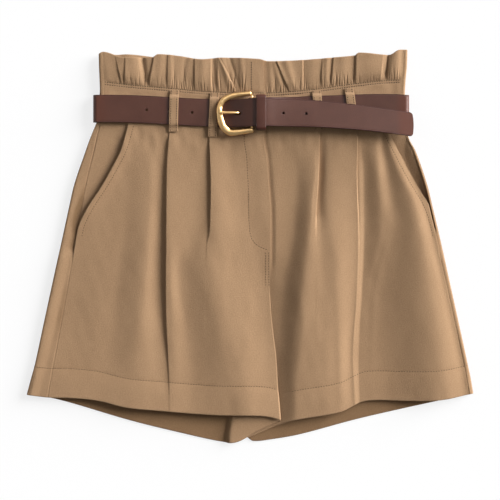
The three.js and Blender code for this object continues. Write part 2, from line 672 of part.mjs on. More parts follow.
// The stretch that holds the buckle, from its bar to the left edge
const UNDER_STRAP = [
  { x: 10, y: 147.4, z: 17.7 },
  { x: 18, y: 148, z: 17.4 },
  { x: 28, y: 148.3, z: 14.8 },
  { x: 38, y: 148.7, z: 11.7 },
  { x: 50, y: 149.2, z: 10.1 },
  { x: 66, y: 150.1, z: FRONT_BELT_Z },
  { x: 95, y: 151, z: FRONT_BELT_Z },
  { x: 130, y: 152.2, z: FRONT_BELT_Z },
  { x: 158, y: 152.3, z: FRONT_BELT_Z },
];
// The stretch with the holes, from the right edge through the buckle to the tip; roll in degrees,
// where less than nothing lifts the lower edge
const TAIL_STRAP = [
  { x: -155, y: 151.5, z: FRONT_BELT_Z, roll: 0 },
  { x: -125, y: 151, z: FRONT_BELT_Z, roll: 0 },
  { x: -89, y: 149.1, z: FRONT_BELT_Z, roll: 0 },
  { x: -60, y: 147.4, z: FRONT_BELT_Z, roll: 0 },
  { x: -34, y: 146.4, z: FRONT_BELT_Z, roll: 0 },
  { x: -27, y: 146.2, z: 10.7, roll: 0 },
  { x: -20, y: 146.1, z: 12.6, roll: 0 },
  { x: -12, y: 146, z: 15.8, roll: 0 },
  { x: -5, y: 146, z: 18.4, roll: 0 },
  { x: 2, y: 146.2, z: 20.1, roll: 0 },
  { x: 10, y: 146.4, z: 20.5, roll: 0 },
  { x: 18, y: 146.6, z: 20.2, roll: 0 },
  { x: 29, y: 146.4, z: 18.4, roll: -2 },
  { x: 42, y: 146.1, z: 17, roll: -4 },
  { x: 56, y: 145.8, z: 16.5, roll: -6 },
  { x: 74, y: 145, z: 16.5, roll: -8 },
  { x: 96, y: 143.3, z: 16.6, roll: -8 },
  { x: 120, y: 141, z: 16.6, roll: -8 },
  { x: 145, y: 138, z: 16.2, roll: -8 },
  { x: 165, y: 135.2, z: 15.8, roll: -8 },
  { x: 178, y: 133.3, z: 15.4, roll: -8 },
];
const TIP_HALF = 13.3;        // half of the strap's width at its tip
function beltStrap() {
  const stations = [];
  const add = (x, y, z, roll = 0) => stations.push({ x, y, z, roll });
  const arc = (x, z, radius, y, from, to, steps) => {
    for (let i = 0; i <= steps; i += 1) {
      const angle = THREE.MathUtils.degToRad(mix(from, to, i / steps));
      add(x + radius * Math.cos(angle), y, z + radius * Math.sin(angle));
    }
  };
  add(BAR.x + 7, 147.2, BAR.z - WRAP);
  arc(BAR.x, BAR.z, WRAP, 147.2, 270, 90, 8);
  UNDER_STRAP.forEach(({ x, y, z }) => add(x, y, z));
  arc(LEFT_TURN.x, TURN_Z, LEFT_TURN.radius, BELT_Y, 90, -90, 6);
  [110, 40, -40, -110].forEach((x) => add(x, BELT_Y, BACK_BELT_Z));
  arc(RIGHT_TURN.x, TURN_Z, RIGHT_TURN.radius, BELT_Y, 270, 90, 6);
  const fullWidth = stations.length;
  TAIL_STRAP.forEach(({ x, y, z, roll }) => add(x, y, z, roll));
  const last = stations.length - 1;
  const grid = stations.map(({ x, y, z, roll }, i) => [-1, -0.8, 0, 0.8, 1].map((part) => {
    const lean = THREE.MathUtils.degToRad(roll);
    const tip = i === last ? 1.6 - 4.2 * Math.max(Math.abs(part) - 0.8, 0) / 0.2 : 0;
    const taper = i > fullWidth ? ease(x, 50, 165) : 0;
    const reach = mix(BELT_HALF, TIP_HALF, taper) * part;
    return new THREE.Vector3(x + tip, y + reach * Math.cos(lean), z + reach * Math.sin(lean));
  }));
  let strap = solid(wall(grid, BELT_THICK));
  const cutDepth = 9;
  for (let i = 0; i < HOLE_COUNT; i += 1) {
    const x = FIRST_HOLE_X + HOLE_PITCH * i;
    const prong = Math.abs(x - PRONG_HOLE_X) < HOLE_PITCH / 2;
    const place = prong ? PRONG_HOLE_X : x;
    const radius = prong ? PRONG_HOLE_RADIUS : HOLE_RADIUS;
    const hole = new THREE.CylinderGeometry(radius, radius, cutDepth, 12);
    hole.rotateX(Math.PI / 2);
    if (prong) hole.scale(PRONG_HOLE_STRETCH, 1, 1);
    hole.translate(place, along(TAIL_STRAP, "x", "y", place) - 0.6, along(TAIL_STRAP, "x", "z", place));
    strap = strap.subtract(solid(hole));
  }
  // a slot in the wrap, where the prong's eye turns on the bar
  const slotWidth = 6.4;
  const slotReach = WRAP + BELT_THICK + EYE_RADIUS + 2 * SEAM;
  const slot = new THREE.BoxGeometry(slotReach, slotWidth, 2 * (WRAP + BELT_THICK));
  slot.translate(BAR.x + EYE_RADIUS + 2 * SEAM - slotReach / 2, PRONG_Y, BAR.z);
  return geometryOf(strap.subtract(solid(slot)));
}

function keeper() {
  const outer = { low: 127, high: 165.6, floor: 14.3, roof: 24.1 };
  const thick = 1.8;
  const shape = new THREE.Shape();
  const ring = (path, inset, corner) => {
    const [low, high] = [outer.low + inset, outer.high - inset];
    const [floor, roof] = [outer.floor + inset, outer.roof - inset];
    path.moveTo(low + corner, floor);
    path.lineTo(high - corner, floor);
    path.quadraticCurveTo(high, floor, high, floor + corner);
    path.lineTo(high, roof - corner);
    path.quadraticCurveTo(high, roof, high - corner, roof);
    path.lineTo(low + corner, roof);
    path.quadraticCurveTo(low, roof, low, roof - corner);
    path.lineTo(low, floor + corner);
    path.quadraticCurveTo(low, floor, low + corner, floor);
  };
  ring(shape, 0, 2.4);
  const hole = new THREE.Path();
  ring(hole, thick, 0.8);
  shape.holes.push(hole);
  const geometry = new THREE.ExtrudeGeometry(shape, { depth: 11, bevelEnabled: false, curveSegments: 3 });
  // the shape's own x and y become Y and Z, and its depth X
  geometry.rotateX(Math.PI / 2);
  geometry.rotateZ(Math.PI / 2);
  geometry.translate(6.8, 0, 0);
  return geometry;
}

function rod(points, wide, high, sides, steps) {
  const section = new THREE.Shape();
  section.absellipse(0, 0, wide / 2, high / 2, 0, Math.PI * 2);
  const path = new THREE.CatmullRomCurve3(points.map(({ x, y, z }) => new THREE.Vector3(x, y, z)));
  return new THREE.ExtrudeGeometry(section, { steps, extrudePath: path, curveSegments: sides, bevelEnabled: false });
}
const FRAME_PATH = [
  { x: 4.4, y: 127.6, z: 14.7 },
  { x: -6, y: 125.4, z: 14.7 },
  { x: -20, y: 124.9, z: 14.6 },
  { x: -28, y: 129, z: 15 },
  { x: -31.8, y: 139, z: 15.2 },
  { x: -32.2, y: 150, z: 15.2 },
  { x: -30.4, y: 159, z: 15 },
  { x: -24, y: 163.4, z: 14.6 },
  { x: -12, y: 165.4, z: 14.7 },
  { x: 1.6, y: 167.6, z: 14.7 },
];
function buckle() {
  const frame = rod(FRAME_PATH, 5.4, 4.6, 6, 26);
  const bar = new THREE.CylinderGeometry(BAR.radius, BAR.radius, 38.6, 12);
  bar.translate(BAR.x, 147.2, BAR.z);
  return geometryOf(solid(frame).add(solid(bar)));
}

function prong() {
  const y = PRONG_Y;
  const path = [
    { x: 0, y, z: 12.2 },
    { x: -5, y, z: 12.5 },
    { x: -9.4, y, z: 13.6 },
    { x: -13.4, y, z: 16.6 },
    { x: -18, y, z: 17.9 },
    { x: -25, y, z: 18.8 },
    { x: -33.4, y, z: 19.3 },
  ];
  const pin = rod(path, 2.4, 2.2, 10, 18);
  const eye = new THREE.Shape();
  eye.absarc(0, 0, EYE_RADIUS, 0, Math.PI * 2);
  const bore = new THREE.Path();
  bore.absarc(0, 0, BAR.radius + SEAM, 0, Math.PI * 2);
  eye.holes.push(bore);
  const ring = new THREE.ExtrudeGeometry(eye, { depth: 4, bevelEnabled: false, curveSegments: 8 });
  ring.rotateX(Math.PI / 2);
  ring.translate(BAR.x, y + 2, BAR.z);
  return geometryOf(solid(pin).add(solid(ring)));
}

function solid(geometry) {
  const bare = geometry.clone();
  bare.deleteAttribute("normal");
  if (bare.attributes.uv) bare.deleteAttribute("uv");
  const merged = mergeVertices(bare, 1e-4);
  return new wasm.Manifold(new wasm.Mesh({
    numProp: 3,
    vertProperties: new Float32Array(merged.attributes.position.array),
    triVerts: new Uint32Array(merged.index.array),
  }));
}
function geometryOf(body) {
  const mesh = body.getMesh();
  const geometry = new THREE.BufferGeometry();
  geometry.setAttribute("position", new THREE.BufferAttribute(mesh.vertProperties, 3));
  geometry.setIndex(new THREE.BufferAttribute(mesh.triVerts, 1));
  geometry.computeVertexNormals();
  return geometry;
}

const shorts = new THREE.Group();
const place = (name, geometry, color, roughness, metalness = 0) => {
  const mesh = new THREE.Mesh(geometry, new THREE.MeshStandardMaterial({ color, roughness, metalness }));
  mesh.name = name;
  shorts.add(mesh);
};
const cloth = (name, geometry) => place(name, geometry, 0xb0926f, 0.9);
const leather = (name, geometry) => place(name, geometry, 0x5c3e34, 0.5);
const brass = (name, geometry) => place(name, geometry, 0xe0b060, 0.3, 1);

for (const leg of ["right", "left"]) {
  cloth(`${leg}_front`, frontPanel(leg));
  cloth(`${leg}_back`, backPanel(leg));
  cloth(`${leg}_hip_facing`, hipFacing(leg));
}
const bandSeam = (leg) => (y) => along(BAND_SIDES, "y", `${leg}Seam`, y) - signOf(leg) * SEAM / 2;
cloth("right_waist_frill", frontBand("right", bandSeam("right"), (y) => mix(17.4, 14.8, ease(y, 150, 200)), 36));
cloth("left_waist_frill", frontBand("left", () => 3, bandSeam("left"), 34));
cloth("back_waist_frill", backBand());

const FRONT_LOOPS = [
  { topX: -82.9, bottomX: -84, topY: 172, bottomY: 126, beltY: 148.8, bottomZ: 10 },
  { topX: -38.6, bottomX: -41, topY: 169, bottomY: 120.4, beltY: 146.6, bottomZ: 10.8 },
  { topX: 73.4, bottomX: 76, topY: 171, bottomY: 127.6, beltY: 150.3, bottomZ: 9.9 },
  { topX: 108.8, bottomX: 114.8, topY: 174, bottomY: 131, beltY: 151.4, bottomZ: 9.4 },
];
FRONT_LOOPS.forEach((row, i) => cloth(`front_belt_loop_${i + 1}`, frontLoop(row)));
[-95, 3, 101].forEach((x, i) => cloth(`back_belt_loop_${i + 1}`, backLoop(x)));

leather("belt_strap", beltStrap());
leather("belt_keeper", keeper());
brass("buckle_frame", buckle());
brass("buckle_prong", prong());

// The origin is at the middle of the outline, on the surface that the shorts lie on
const box = new THREE.Box3().setFromObject(shorts);
const middle = box.getCenter(new THREE.Vector3());
shorts.position.set(-middle.x, -middle.y, -box.min.z);

export default shorts;
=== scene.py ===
import math
import random

import bmesh
import bpy
import numpy as np
from mathutils import Matrix, Vector


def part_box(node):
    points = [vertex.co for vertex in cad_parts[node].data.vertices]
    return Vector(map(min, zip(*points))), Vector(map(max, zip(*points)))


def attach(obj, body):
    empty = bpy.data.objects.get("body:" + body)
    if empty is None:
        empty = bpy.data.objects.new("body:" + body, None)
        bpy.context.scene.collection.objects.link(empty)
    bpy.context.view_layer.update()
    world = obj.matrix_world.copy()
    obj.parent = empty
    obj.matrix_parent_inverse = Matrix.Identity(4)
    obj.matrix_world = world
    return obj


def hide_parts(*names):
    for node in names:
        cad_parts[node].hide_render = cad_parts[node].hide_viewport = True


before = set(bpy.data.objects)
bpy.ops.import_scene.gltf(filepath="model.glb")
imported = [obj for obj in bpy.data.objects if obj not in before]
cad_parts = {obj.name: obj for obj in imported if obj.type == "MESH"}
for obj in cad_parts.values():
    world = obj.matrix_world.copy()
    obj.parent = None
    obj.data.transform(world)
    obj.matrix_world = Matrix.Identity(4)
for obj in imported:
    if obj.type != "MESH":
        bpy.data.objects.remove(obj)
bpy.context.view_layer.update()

MM = 0.001

# Sizes shared with the solids, in millimetres: X across, +Y to the waist, +Z out of the front.
# The wearer's right leg is at -X.
TWILL = 1.3               # wall of a cloth panel
BAND = 1.4                # wall of a waistband and its frill
TAPE = 1.0                # wall of a belt loop
HEM_WIDTH = 32
SEAM = 0.3                # space between two pieces that are sewn together
WAIST_Y = 139             # seam between the panels and the waistband
SEAT_SEAM_X = 22.2        # seam between the two back panels
BELT_THICK = 2.4
BELT_HALF = 15            # half of the belt's width
BELT_Y = 151.5            # middle of the belt across the back
TIP_HALF = 13.3           # half of the strap's width at its tip
HOLE_COUNT = 8
HOLE_PITCH = 25
FIRST_HOLE_X = -113.3
PRONG_HOLE_X = -12.5
PRONG_Y = 146.2
LOOP_WIDTH = 9.9
BACK_Z = TWILL / 2
BACK_BELT_Z = TAPE + SEAM + BELT_THICK / 2
BACK_BAND_Z = TAPE + SEAM + BELT_THICK + SEAM + BAND / 2
BELT_LIFT = BACK_BAND_Z - BAND / 2
FRONT_BAND_Z = 7.8
FRONT_BELT_Z = 10
LAP = TWILL + SEAM        # a layer on top of another
LAPPED_BAND = BAND + SEAM
LEG_LIFT = 4.6            # how far the right leg's back is lifted where it lies on the left leg
PLEAT_SPREAD = 30         # how far the upper side of a pleat takes to level out
TROUGH_SPREAD = 9
KEEPER_X = 6.8            # left side of the belt keeper

# Sizes of the looks alone, some of them softer or deeper than in the solids
HEM_RAISE = 0.25          # the middle of a hem is this much above the middle of its panel
FRILL_PUFF = 1.0          # how far the front frill stands off its seam
BACK_FRILL_SINK = 0.9     # how far the back frill sinks below its seam
UNDER_LEG_Z = 2.8         # front of the left leg where the right leg lies on it
CREASE = 0.75             # half of the width of a pleat's step
MOUTH_LIFT = {"right": 1.7, "left": -0.4}    # how far a pocket's mouth stands up from the hip
MOUTH_SINK = {"right": 1.5, "left": 4.4}     # how far the facing sinks behind it
CLOTH = 0.7               # wall of one layer of cloth
TURN = 0.42               # half of the distance between the two layers of a turned edge
STRAP = 2.2               # wall of the strap
PANEL_EDGE = 0.15         # rounding of the cut edges, by kind of piece
BAND_EDGE = 0.12
FACING_EDGE = 0.1
SEAM_DIP = 0.22           # how far a side seam is drawn in
SEAM_WIDTH = 0.45         # and how wide that dip is
LOOSE_Y, TIGHT_Y = 126, 139    # cloth wanders freely below the first and is held at the second

# Where the solids' own origin lies, read off the keeper's side and the top of a pocket facing
keeper_low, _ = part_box("belt_keeper")
_, facing_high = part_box("left_hip_facing")
ORIGIN = np.array([keeper_low[0] / MM - KEEPER_X, facing_high[1] / MM - (WAIST_Y - SEAM / 2), 0.0])


def table(names, *rows):
    return {name: np.array([row[i] for row in rows], float) for i, name in enumerate(names.split())}


def mix(a, b, t):
    return a + (b - a) * t


def ease(value, start, end):
    t = np.clip((value - start) / (end - start), 0, 1)
    return t * t * (3 - 2 * t)


def bell(value, width):
    return np.exp(-(value / width) ** 2)


def lengths(points, axis=0):
    """How far each point lies along the line or lines through the points."""
    steps = np.linalg.norm(np.diff(points, axis=axis), axis=-1)
    return np.insert(np.cumsum(steps, axis), 0, 0, axis)


def along(rows, key, value, at):
    """Smooth line through the rows of a table, from one named column to another."""
    keys, values = rows[key], rows[value]
    at = np.clip(at, keys[0], keys[-1])
    i = np.clip(np.searchsorted(keys, at, side="left") - 1, 0, len(keys) - 2)
    low = np.maximum(np.arange(len(keys)) - 1, 0)
    high = np.minimum(np.arange(len(keys)) + 1, len(keys) - 1)
    slope = (values[high] - values[low]) / (keys[high] - keys[low])
    run = keys[i + 1] - keys[i]
    t = (at - keys[i]) / run
    t2, t3 = t * t, t * t * t
    return ((2 * t3 - 3 * t2 + 1) * values[i] + (t3 - 2 * t2 + t) * run * slope[i]
            + (3 * t2 - 2 * t3) * values[i + 1] + (t3 - t2) * run * slope[i + 1])


def ripples(seed, size, stretch=1.0, count=9):
    """Gentle uneven ripples, size millimetres from one to the next across, stretch times that down."""
    draw = random.Random(seed)
    waves = []
    for _ in range(count):
        turn = draw.uniform(0, 2 * math.pi)
        pace = 2 * math.pi / size * draw.uniform(0.6, 1.4)
        waves.append((pace * math.cos(turn), pace * math.sin(turn) / stretch, draw.uniform(0, 6.3)))
    return lambda x, y: sum(np.sin(a * x + b * y + c) for a, b, c in waves) / math.sqrt(count)


# Outline, side seams and pocket mouths
SIDES = table(
    "y right right_seam left left_seam",
    (-166, -246.5, -222.5, 247, 242.5),
    (-132, -237.7, -216.6, 241, 238.5),
    (-81, -226.7, -207, 230, 227.5),
    (-29, -215.4, -198, 218.5, 216),
    (7, -207.5, -191.6, 210.6, 208.3),
    (43, -199.7, -185, 202.1, 198.8),
    (69, -193.7, -180.6, 195.7, 192),
    (105, -181.4, -172, 183.2, 179.6),
    (119, -176.2, -169, 175.6, 172.2),
    (139, -168, -164, 171.4, 167.6),
)
POCKETS = table(
    "y right left",
    (7, -191.6, 208.3),
    (22, -188.4, 205.2),
    (44, -177.5, 198),
    (65, -163.5, 185.3),
    (86, -151.5, 173.4),
    (107, -141.1, 162.6),
    (139, -132.5, 146),
)
INNER = table(
    "y x",
    (-191, 34.3), (-155, 31.4), (-122, 29.4), (-95, 26.1), (-59, 22.8), (-19, 23.3),
    (40, 23.3), (69, 21.1), (98, 18.9), (115, 15.8), (139, 16),
)
UNDER_EDGE = table(
    "y x",
    (-209, -2.3), (-130, 10.8), (-60, 19.5), (-50, 20.5), (-42, 20), (-18, 8), (139, 4),
)
UNDER_RISE = table(
    "y start end",
    (-190, 19, 51), (-147, 20, 53), (-103, 22, 58), (-70, 19, 61), (-40, 15, 54), (-20, 14, 48),
)
EDGE_HEIGHT = table(
    "y z puff",
    (-165, 6.9, 2.2), (-100, 7, 2.3), (-30, 7.4, 2.1), (5, 7.9, 1.9), (60, 7.9, 1.3),
    (105, 7.9, 0.6), (139, 7.85, 0),
)
HEMS = {
    "right_front": table(
        "x y",
        (-246, -163.2), (-222.7, -166), (-196.7, -166.6), (-168.7, -169.2), (-135.1, -177),
        (-101, -180.4), (-40.5, -185.1), (6.2, -185.7), (22.2, -187.3), (34.3, -191),
    ),
    "right_back": table(
        "x y",
        (-246, -163.2), (-222.6, -166.4), (-196.7, -172.7), (-135.1, -191), (-84.5, -203.6),
        (-25.6, -216.2), (-11.9, -214.6), (8.3, -203.1), (34.3, -191),
    ),
    "left_front": table(
        "x y",
        (-2.3, -211), (29.3, -197.4), (49, -190.8), (99.2, -181.8), (121.9, -171.5),
        (137.2, -169.2), (175.1, -169.7), (210.3, -168.4), (245.5, -161.8),
    ),
    "left_back": table(
        "x y",
        (-2.3, -210.6), (3.4, -214.6), (22.2, -213), (55.2, -207.2), (115.7, -191),
        (165.2, -179.5), (211.4, -169.4), (245.5, -161.8),
    ),
}

# Knife pleats: over is +1 where the side towards +X lies on top
PLEATS = [(leg, over, table("y x high low", *line)) for leg, over, line in [
    ("right", 1, [
        (-165, -88.5, 0.1, 0.1), (-114, -90.2, 0.7, 1.1), (-60, -91.4, 1.3, 2.0), (18, -91.1, 1.5, 2.3),
        (83, -90.5, 1.4, 1.7), (120, -88.6, 1.1, 1), (139, -88, 0.1, 0.1),
    ]),
    ("right", 1, [
        (-165, -50, 0, 0), (0, -47.5, 0, 0.2), (20, -43.8, 0.8, 1), (50, -42.2, 1.5, 1.9),
        (84, -42.4, 1.8, 1.9), (118, -43.8, 1.4, 1), (139, -44.4, 0.1, 0.1),
    ]),
    ("left", -1, [
        (-165, 72, 0, 0), (0, 73, 0, 0), (20, 72.6, 0.1, 0.5), (40, 73, 0.5, 1.7),
        (80, 75.2, 0.8, 2.2), (120, 76.8, 0.6, 1.3), (139, 78, 0.1, 0.1),
    ]),
    ("left", -1, [
        (-165, 117, 0, 0.1), (-123, 114.2, 0, 0.2), (-59, 118, 0.1, 0.35), (7, 120, 0.25, 0.7),
        (76, 118, 0.5, 1.2), (115, 118.4, 0.8, 1), (139, 118, 0.1, 0.1),
    ]),
]]
# Soft ridges and hollows of the fronts, in order across each leg: where each runs and its height
# above the level cloth. The cloth swings smoothly from one to the next.
SWELLS = {leg: [table("y x z", *line) for line in lines] for leg, lines in {
    "right": [
        [(-190, -170, -0.6), (-114, -160, -1.3), (-48, -150, -1.4), (18, -140, -1),
              (84, -140, -0.4), (110, -132, 0)],
        [(-190, -132, 0.8), (-114, -124, 1.5), (-48, -117, 1.7), (18, -112, 1.3),
              (84, -110, 0.7), (110, -112, 0.3)],
        [(-190, -98, 0), (-114, -98, -0.6), (-48, -101, -1), (18, -99, -0.8),
              (84, -97, -0.3), (110, -96, 0)],
        [(-190, -84, 0.1), (-114, -84, 0.4), (-48, -87, 1.0), (18, -88, 1), (84, -87, 0.8),
              (110, -86, 0.5)],
        [(-190, -60, -0.6), (-114, -66, -1.2), (-48, -75, -0.8), (-15, -76, -0.2),
              (18, -60, 0.4), (84, -55, 0.3), (110, -52, 0.2)],
        [(-190, -6, 2.2), (-114, -22, 3.4), (-48, -38, 3.4), (-15, -46, 2.6),
              (18, -36, 2.0), (84, -38, 1), (110, -40, 0.5)],
        [(-190, 38, -0.4), (-114, 31, -1.8), (-48, 20, -2.2), (18, 2, -2), (84, -2, -1.4),
              (110, -6, -0.5)],
        [(-190, 40, -0.4), (-114, 33, -1.9), (-48, 26, -2.4), (-6, 22, -1.6), (84, 18, -0.6),
              (110, 15, -0.2)],
    ],
    "left": [
        [(-190, 20, -0.6), (-114, 20, -1.2), (-48, 24, -1.2), (18, 24, -0.5), (84, 24, -0.3),
              (110, 20, 0)],
        [(-190, 30, -0.6), (-114, 27, -1.2), (-48, 36, -2), (18, 48, -2), (51, 50, -1.8),
              (84, 50, -1.1), (110, 42, 0)],
        [(-190, 52, 1.2), (-114, 48, 2.8), (-48, 60, 3.6), (-15, 63, 3.8), (18, 66, 3),
              (51, 68, 2.2), (84, 71, 1.4), (110, 70, 0.6)],
        [(-190, 86, 0.7), (-114, 82, 2.0), (-48, 84, 2.1), (-15, 83, 1.9), (18, 78, 1.2),
              (51, 77, 0.2), (84, 78, -0.4), (110, 79, 0)],
        [(-190, 98, 0.4), (-114, 97, 1.3), (-48, 93, 2.0), (-15, 92, 2), (18, 88, 1.8),
              (51, 84, 1.5), (84, 85, 1.2), (110, 86, 0.6)],
        [(-190, 115, -2.0), (-114, 113, -3), (-48, 118, -3.2), (18, 120, -1.9),
              (84, 119, -0.5), (110, 117, 0)],
        [(-190, 122, -3.8), (-114, 121, -5.4), (-48, 124.5, -5.8), (18, 127, -4.3),
              (84, 126, -2.4), (110, 123, -0.8)],
        [(-190, 129, -4.0), (-114, 129, -5.4), (-48, 132, -5.5), (18, 146, -1.8),
              (51, 144, -0.4), (84, 141, 0.4), (110, 138, 0.4)],
        [(-190, 137, -3.8), (-114, 137, -5.1), (-48, 140, -4.9), (18, 156, -1.6),
              (51, 155, -1.7), (84, 151, -1.4), (110, 146, -0.9)],
        [(-190, 219, 3.4), (-114, 208, 4.0), (-48, 196, 4.0), (18, 186, 3.6), (51, 178, 2.8),
              (84, 164, 1.8), (110, 154, 1.0)],
        [(-190, 245, 0), (-114, 238, -0.2), (-48, 222, 0), (18, 202, 0), (51, 190, 0.4),
              (84, 176, -0.2), (110, 165, -0.7)],
    ],
}.items()}

# Rounded folds of the frill: where each starts at the seam and ends at the top, its width and height
FRILL_FOLDS = {
    "right": [
        (-163, -164, 5, 0.6), (-134, -141, 7, 0.6), (-124, -129, 7, 1.0), (-114, -118.5, 3.2, -2.0),
        (-100, -97, 5, 0.6), (-86, -87, 2.4, 0.5), (-76, -70, 3, -0.6), (-52, -51, 6, 1.1),
        (-38.5, -40, 2.2, -0.9), (-20, -31, 3, 1.0), (-10, -22, 2.2, -0.7), (-5, -10, 3, 0.6),
    ],
    "left": [
        (24, 22, 3, 0.6), (36, 27, 3.4, 1.0), (50, 40, 4, 0.9), (68, 69, 7, 0.7), (84, 85, 3.4, 1.0),
        (102, 103, 8, 1.3), (134, 133, 13, 1.3), (149, 152.5, 3.2, -2.2), (160, 162, 5, 1.2),
    ],
    "back": [
        (-130, -133, 9, 1.1), (-100, -96, 6, -0.7), (-74, -78, 9, 1.2), (-45, -42, 6, -0.7),
        (-18, -20, 9, 1.1), (10, 12, 6, -0.7), (38, 35, 9, 1.2), (66, 69, 6, -0.7), (95, 92, 9, 1.1),
        (124, 127, 6, -0.7), (146, 144, 7, 1.0),
    ],
}
# Sharp folds that lap over: over is +1 where the side towards +X lies on top, and fade is how much of
# the step is gone at the frill's edge
FRILL_LAPS = {
    "right": [
        # base, tip, over, height, length, fade
        (-141, -148, 1, 0.8, 5, 0.9), (-137.5, -137, 1, 0.9, 7, 0.6), (-111.5, -105.5, 1, 1.3, 9, 0.2),
        (-90.5, -90.3, 1, 1.0, 6, 0.5), (-60.6, -60.8, 1, 1.1, 9, 0.4), (-42.5, -42.5, -1, 1.0, 5, 0.7),
        (-36, -35.5, 1, 0.6, 4, 0.8), (-14, -33.5, -1, 1.1, 5, 0.4),
    ],
    "left": [
        (43.5, 29, 1, 1.5, 8, 0.3), (58.5, 58.3, -1, 0.9, 8, 0.3), (78.3, 79.5, 1, 1.1, 6, 0.8),
        (89.5, 91.8, 1, 1.5, 8, 0.4), (116, 117, 1, 1.6, 16, 0.1), (151.5, 153, 1, 1.3, 8, 0.2),
        (144, 147, -1, 0.7, 6, 0.8),
    ],
    "back": [
        (-112, -110, 1, 0.8, 8, 0.3), (-58, -60, -1, 0.8, 8, 0.3), (-4, -2, 1, 0.8, 8, 0.3),
        (52, 50, -1, 0.8, 8, 0.3), (110, 112, 1, 0.8, 8, 0.3),
    ],
}
FRILL_SEAM = table(
    "x y",
    (-165, 181.5), (-132, 177.6), (-88, 173.8), (-44, 170), (16, 168.6), (65, 172), (121, 179.5),
    (153, 182.6), (171, 183),
)
BACK_FRILL_SEAM = table("x y", (-165, 181.5), (-130, 178), (0, 176), (130, 178), (171, 183))
FRILL_TOP = table(
    "x y",
    (-166, 211.6), (-161.5, 213.8), (-153.8, 212.4), (-142.3, 208.2), (-106.5, 207.8),
    (-101, 210.9), (-77, 209), (-53.4, 205.4), (-32, 207.2), (10, 205.6), (20.5, 203.3),
    (57.4, 204.6), (90, 207.2), (115.3, 209.8), (119.5, 212.6), (153.9, 210.6), (163, 215.6),
    (172, 216.2),
)
BACK_FRILL_TOP = table(
    "x y",
    (-166, 211.6), (-148, 211.8), (-125, 210.8), (-90, 206.5), (0, 201), (90, 204),
    (150, 209.5), (172, 216.2),
)
BAND_SIDES = table(
    "y right right_seam left left_seam",
    (139, -168.7, -164.4, 171.2, 167.4),
    (168, -165.2, -160.6, 170.8, 167),
    (183, -165.4, -160.6, 171.6, 167.8),
    (198, -166, -161, 173, 169.2),
    (216, -166.4, -161.4, 173.6, 169.8),
)


def sign_of(leg):
    return -1 if leg == "right" else 1


def back_lift(y):
    return BELT_LIFT * ease(y, 98, 124)


def pocket_level(y):
    return ease(y, -16, 2)


def fold_radius(y):
    edge = along(EDGE_HEIGHT, "y", "z", y) - LAP * pocket_level(y)
    return (edge - BACK_Z - back_lift(y)) / 2


def fold_start(leg, y):
    return along(SIDES, "y", leg, y) - sign_of(leg) * (fold_radius(y) + TWILL / 2)


def side_seam(leg, y):
    sign = sign_of(leg)
    return sign * np.minimum(sign * along(SIDES, "y", leg + "_seam", y), sign * fold_start(leg, y) - 1)


def pleat_height(leg, x, y):
    height = 0
    for one, over, line in PLEATS:
        if one == leg:
            dx = (x - along(line, "y", "x", y)) * over
            climb = np.clip((dx + CREASE) / (2 * CREASE), 0, 1)
            crest = np.exp(-np.maximum(dx - CREASE, 0) / PLEAT_SPREAD)
            trough = np.exp(np.minimum(dx + CREASE, 0) / TROUGH_SPREAD)
            height = height + climb * along(line, "y", "high", y) * crest
            height = height - (1 - climb) * along(line, "y", "low", y) * trough
    return height


def pleat_shift(leg, x, y):
    """How far a pleat's edge leans out over its trough."""
    shift = 0
    for one, over, line in PLEATS:
        if one == leg:
            step = along(line, "y", "high", y) + along(line, "y", "low", y)
            t = (x - along(line, "y", "x", y)) / 1.7
            shift = shift - 3.6 * ease(step, 0.9, 3) * t * np.exp(-t * t)
    return shift


def soft_height(leg, x, y):
    lines = [(along(line, "y", "x", y), along(line, "y", "z", y)) for line in SWELLS[leg]]
    height = lines[0][1]
    for (start, low), (end, high) in zip(lines, lines[1:]):
        height = height + (high - low) * ease(x, start, end)
    return height


def gape(leg, x, y, reach):
    """1 at a pocket's mouth, fading out over reach millimetres, and nought below the mouth."""
    sign = sign_of(leg)
    inside = sign * (along(POCKETS, "y", leg, y) - x)
    return bell(inside, reach) * ease(y, 9, 45) * (1 - 0.9 * ease(y, 112, 138))


def level_height(leg, x, y):
    inside = np.abs(x - fold_start(leg, y))
    from_fly = ease(x, 14, 60) if leg == "left" else 1 - 0.8 * ease(x, -30, 20)
    calm = ease(y, 139, 110)
    puff = along(EDGE_HEIGHT, "y", "puff", y) * (1 - bell(inside, 28 if leg == "left" else 48)) * from_fly
    z = along(EDGE_HEIGHT, "y", "z", y) + puff
    z = z + (pleat_height(leg, x, y) + soft_height(leg, x, y)) * calm * ease(inside, 0, 12)
    if leg == "right":
        return z + LAP * ease(x, -26, 2)
    z = z - 1.1 * bell(x - along(INNER, "y", "x", y) - 1.2, 2.2) * ease(-y, 40, 10)
    start, end = (along(UNDER_RISE, "y", key, y) for key in ("start", "end"))
    return mix(z, UNDER_LEG_Z, (1 - ease(x, start, end)) * ease(-y, 4, 58))


def front_height(leg, x, y):
    return level_height(leg, x, y) + MOUTH_LIFT[leg] * gape(leg, x, y, 11)


def facing_height(leg, x, y):
    level = level_height(leg, x, y) - LAP * pocket_level(y)
    lowest = BACK_Z + back_lift(y) + 1.4
    return np.maximum(level - MOUTH_SINK[leg] * gape(leg, x, y, 12), np.minimum(level, lowest))


def back_height(leg, x, y):
    z = BACK_Z + back_lift(y)
    if leg == "left":
        return z + 0 * x
    start = along(UNDER_EDGE, "y", "x", np.minimum(y, -54)) - 25
    return z + LEG_LIFT * ease(x, start, start + mix(14, 5, ease(-y, 160, 188))) * ease(-y, 40, 60)


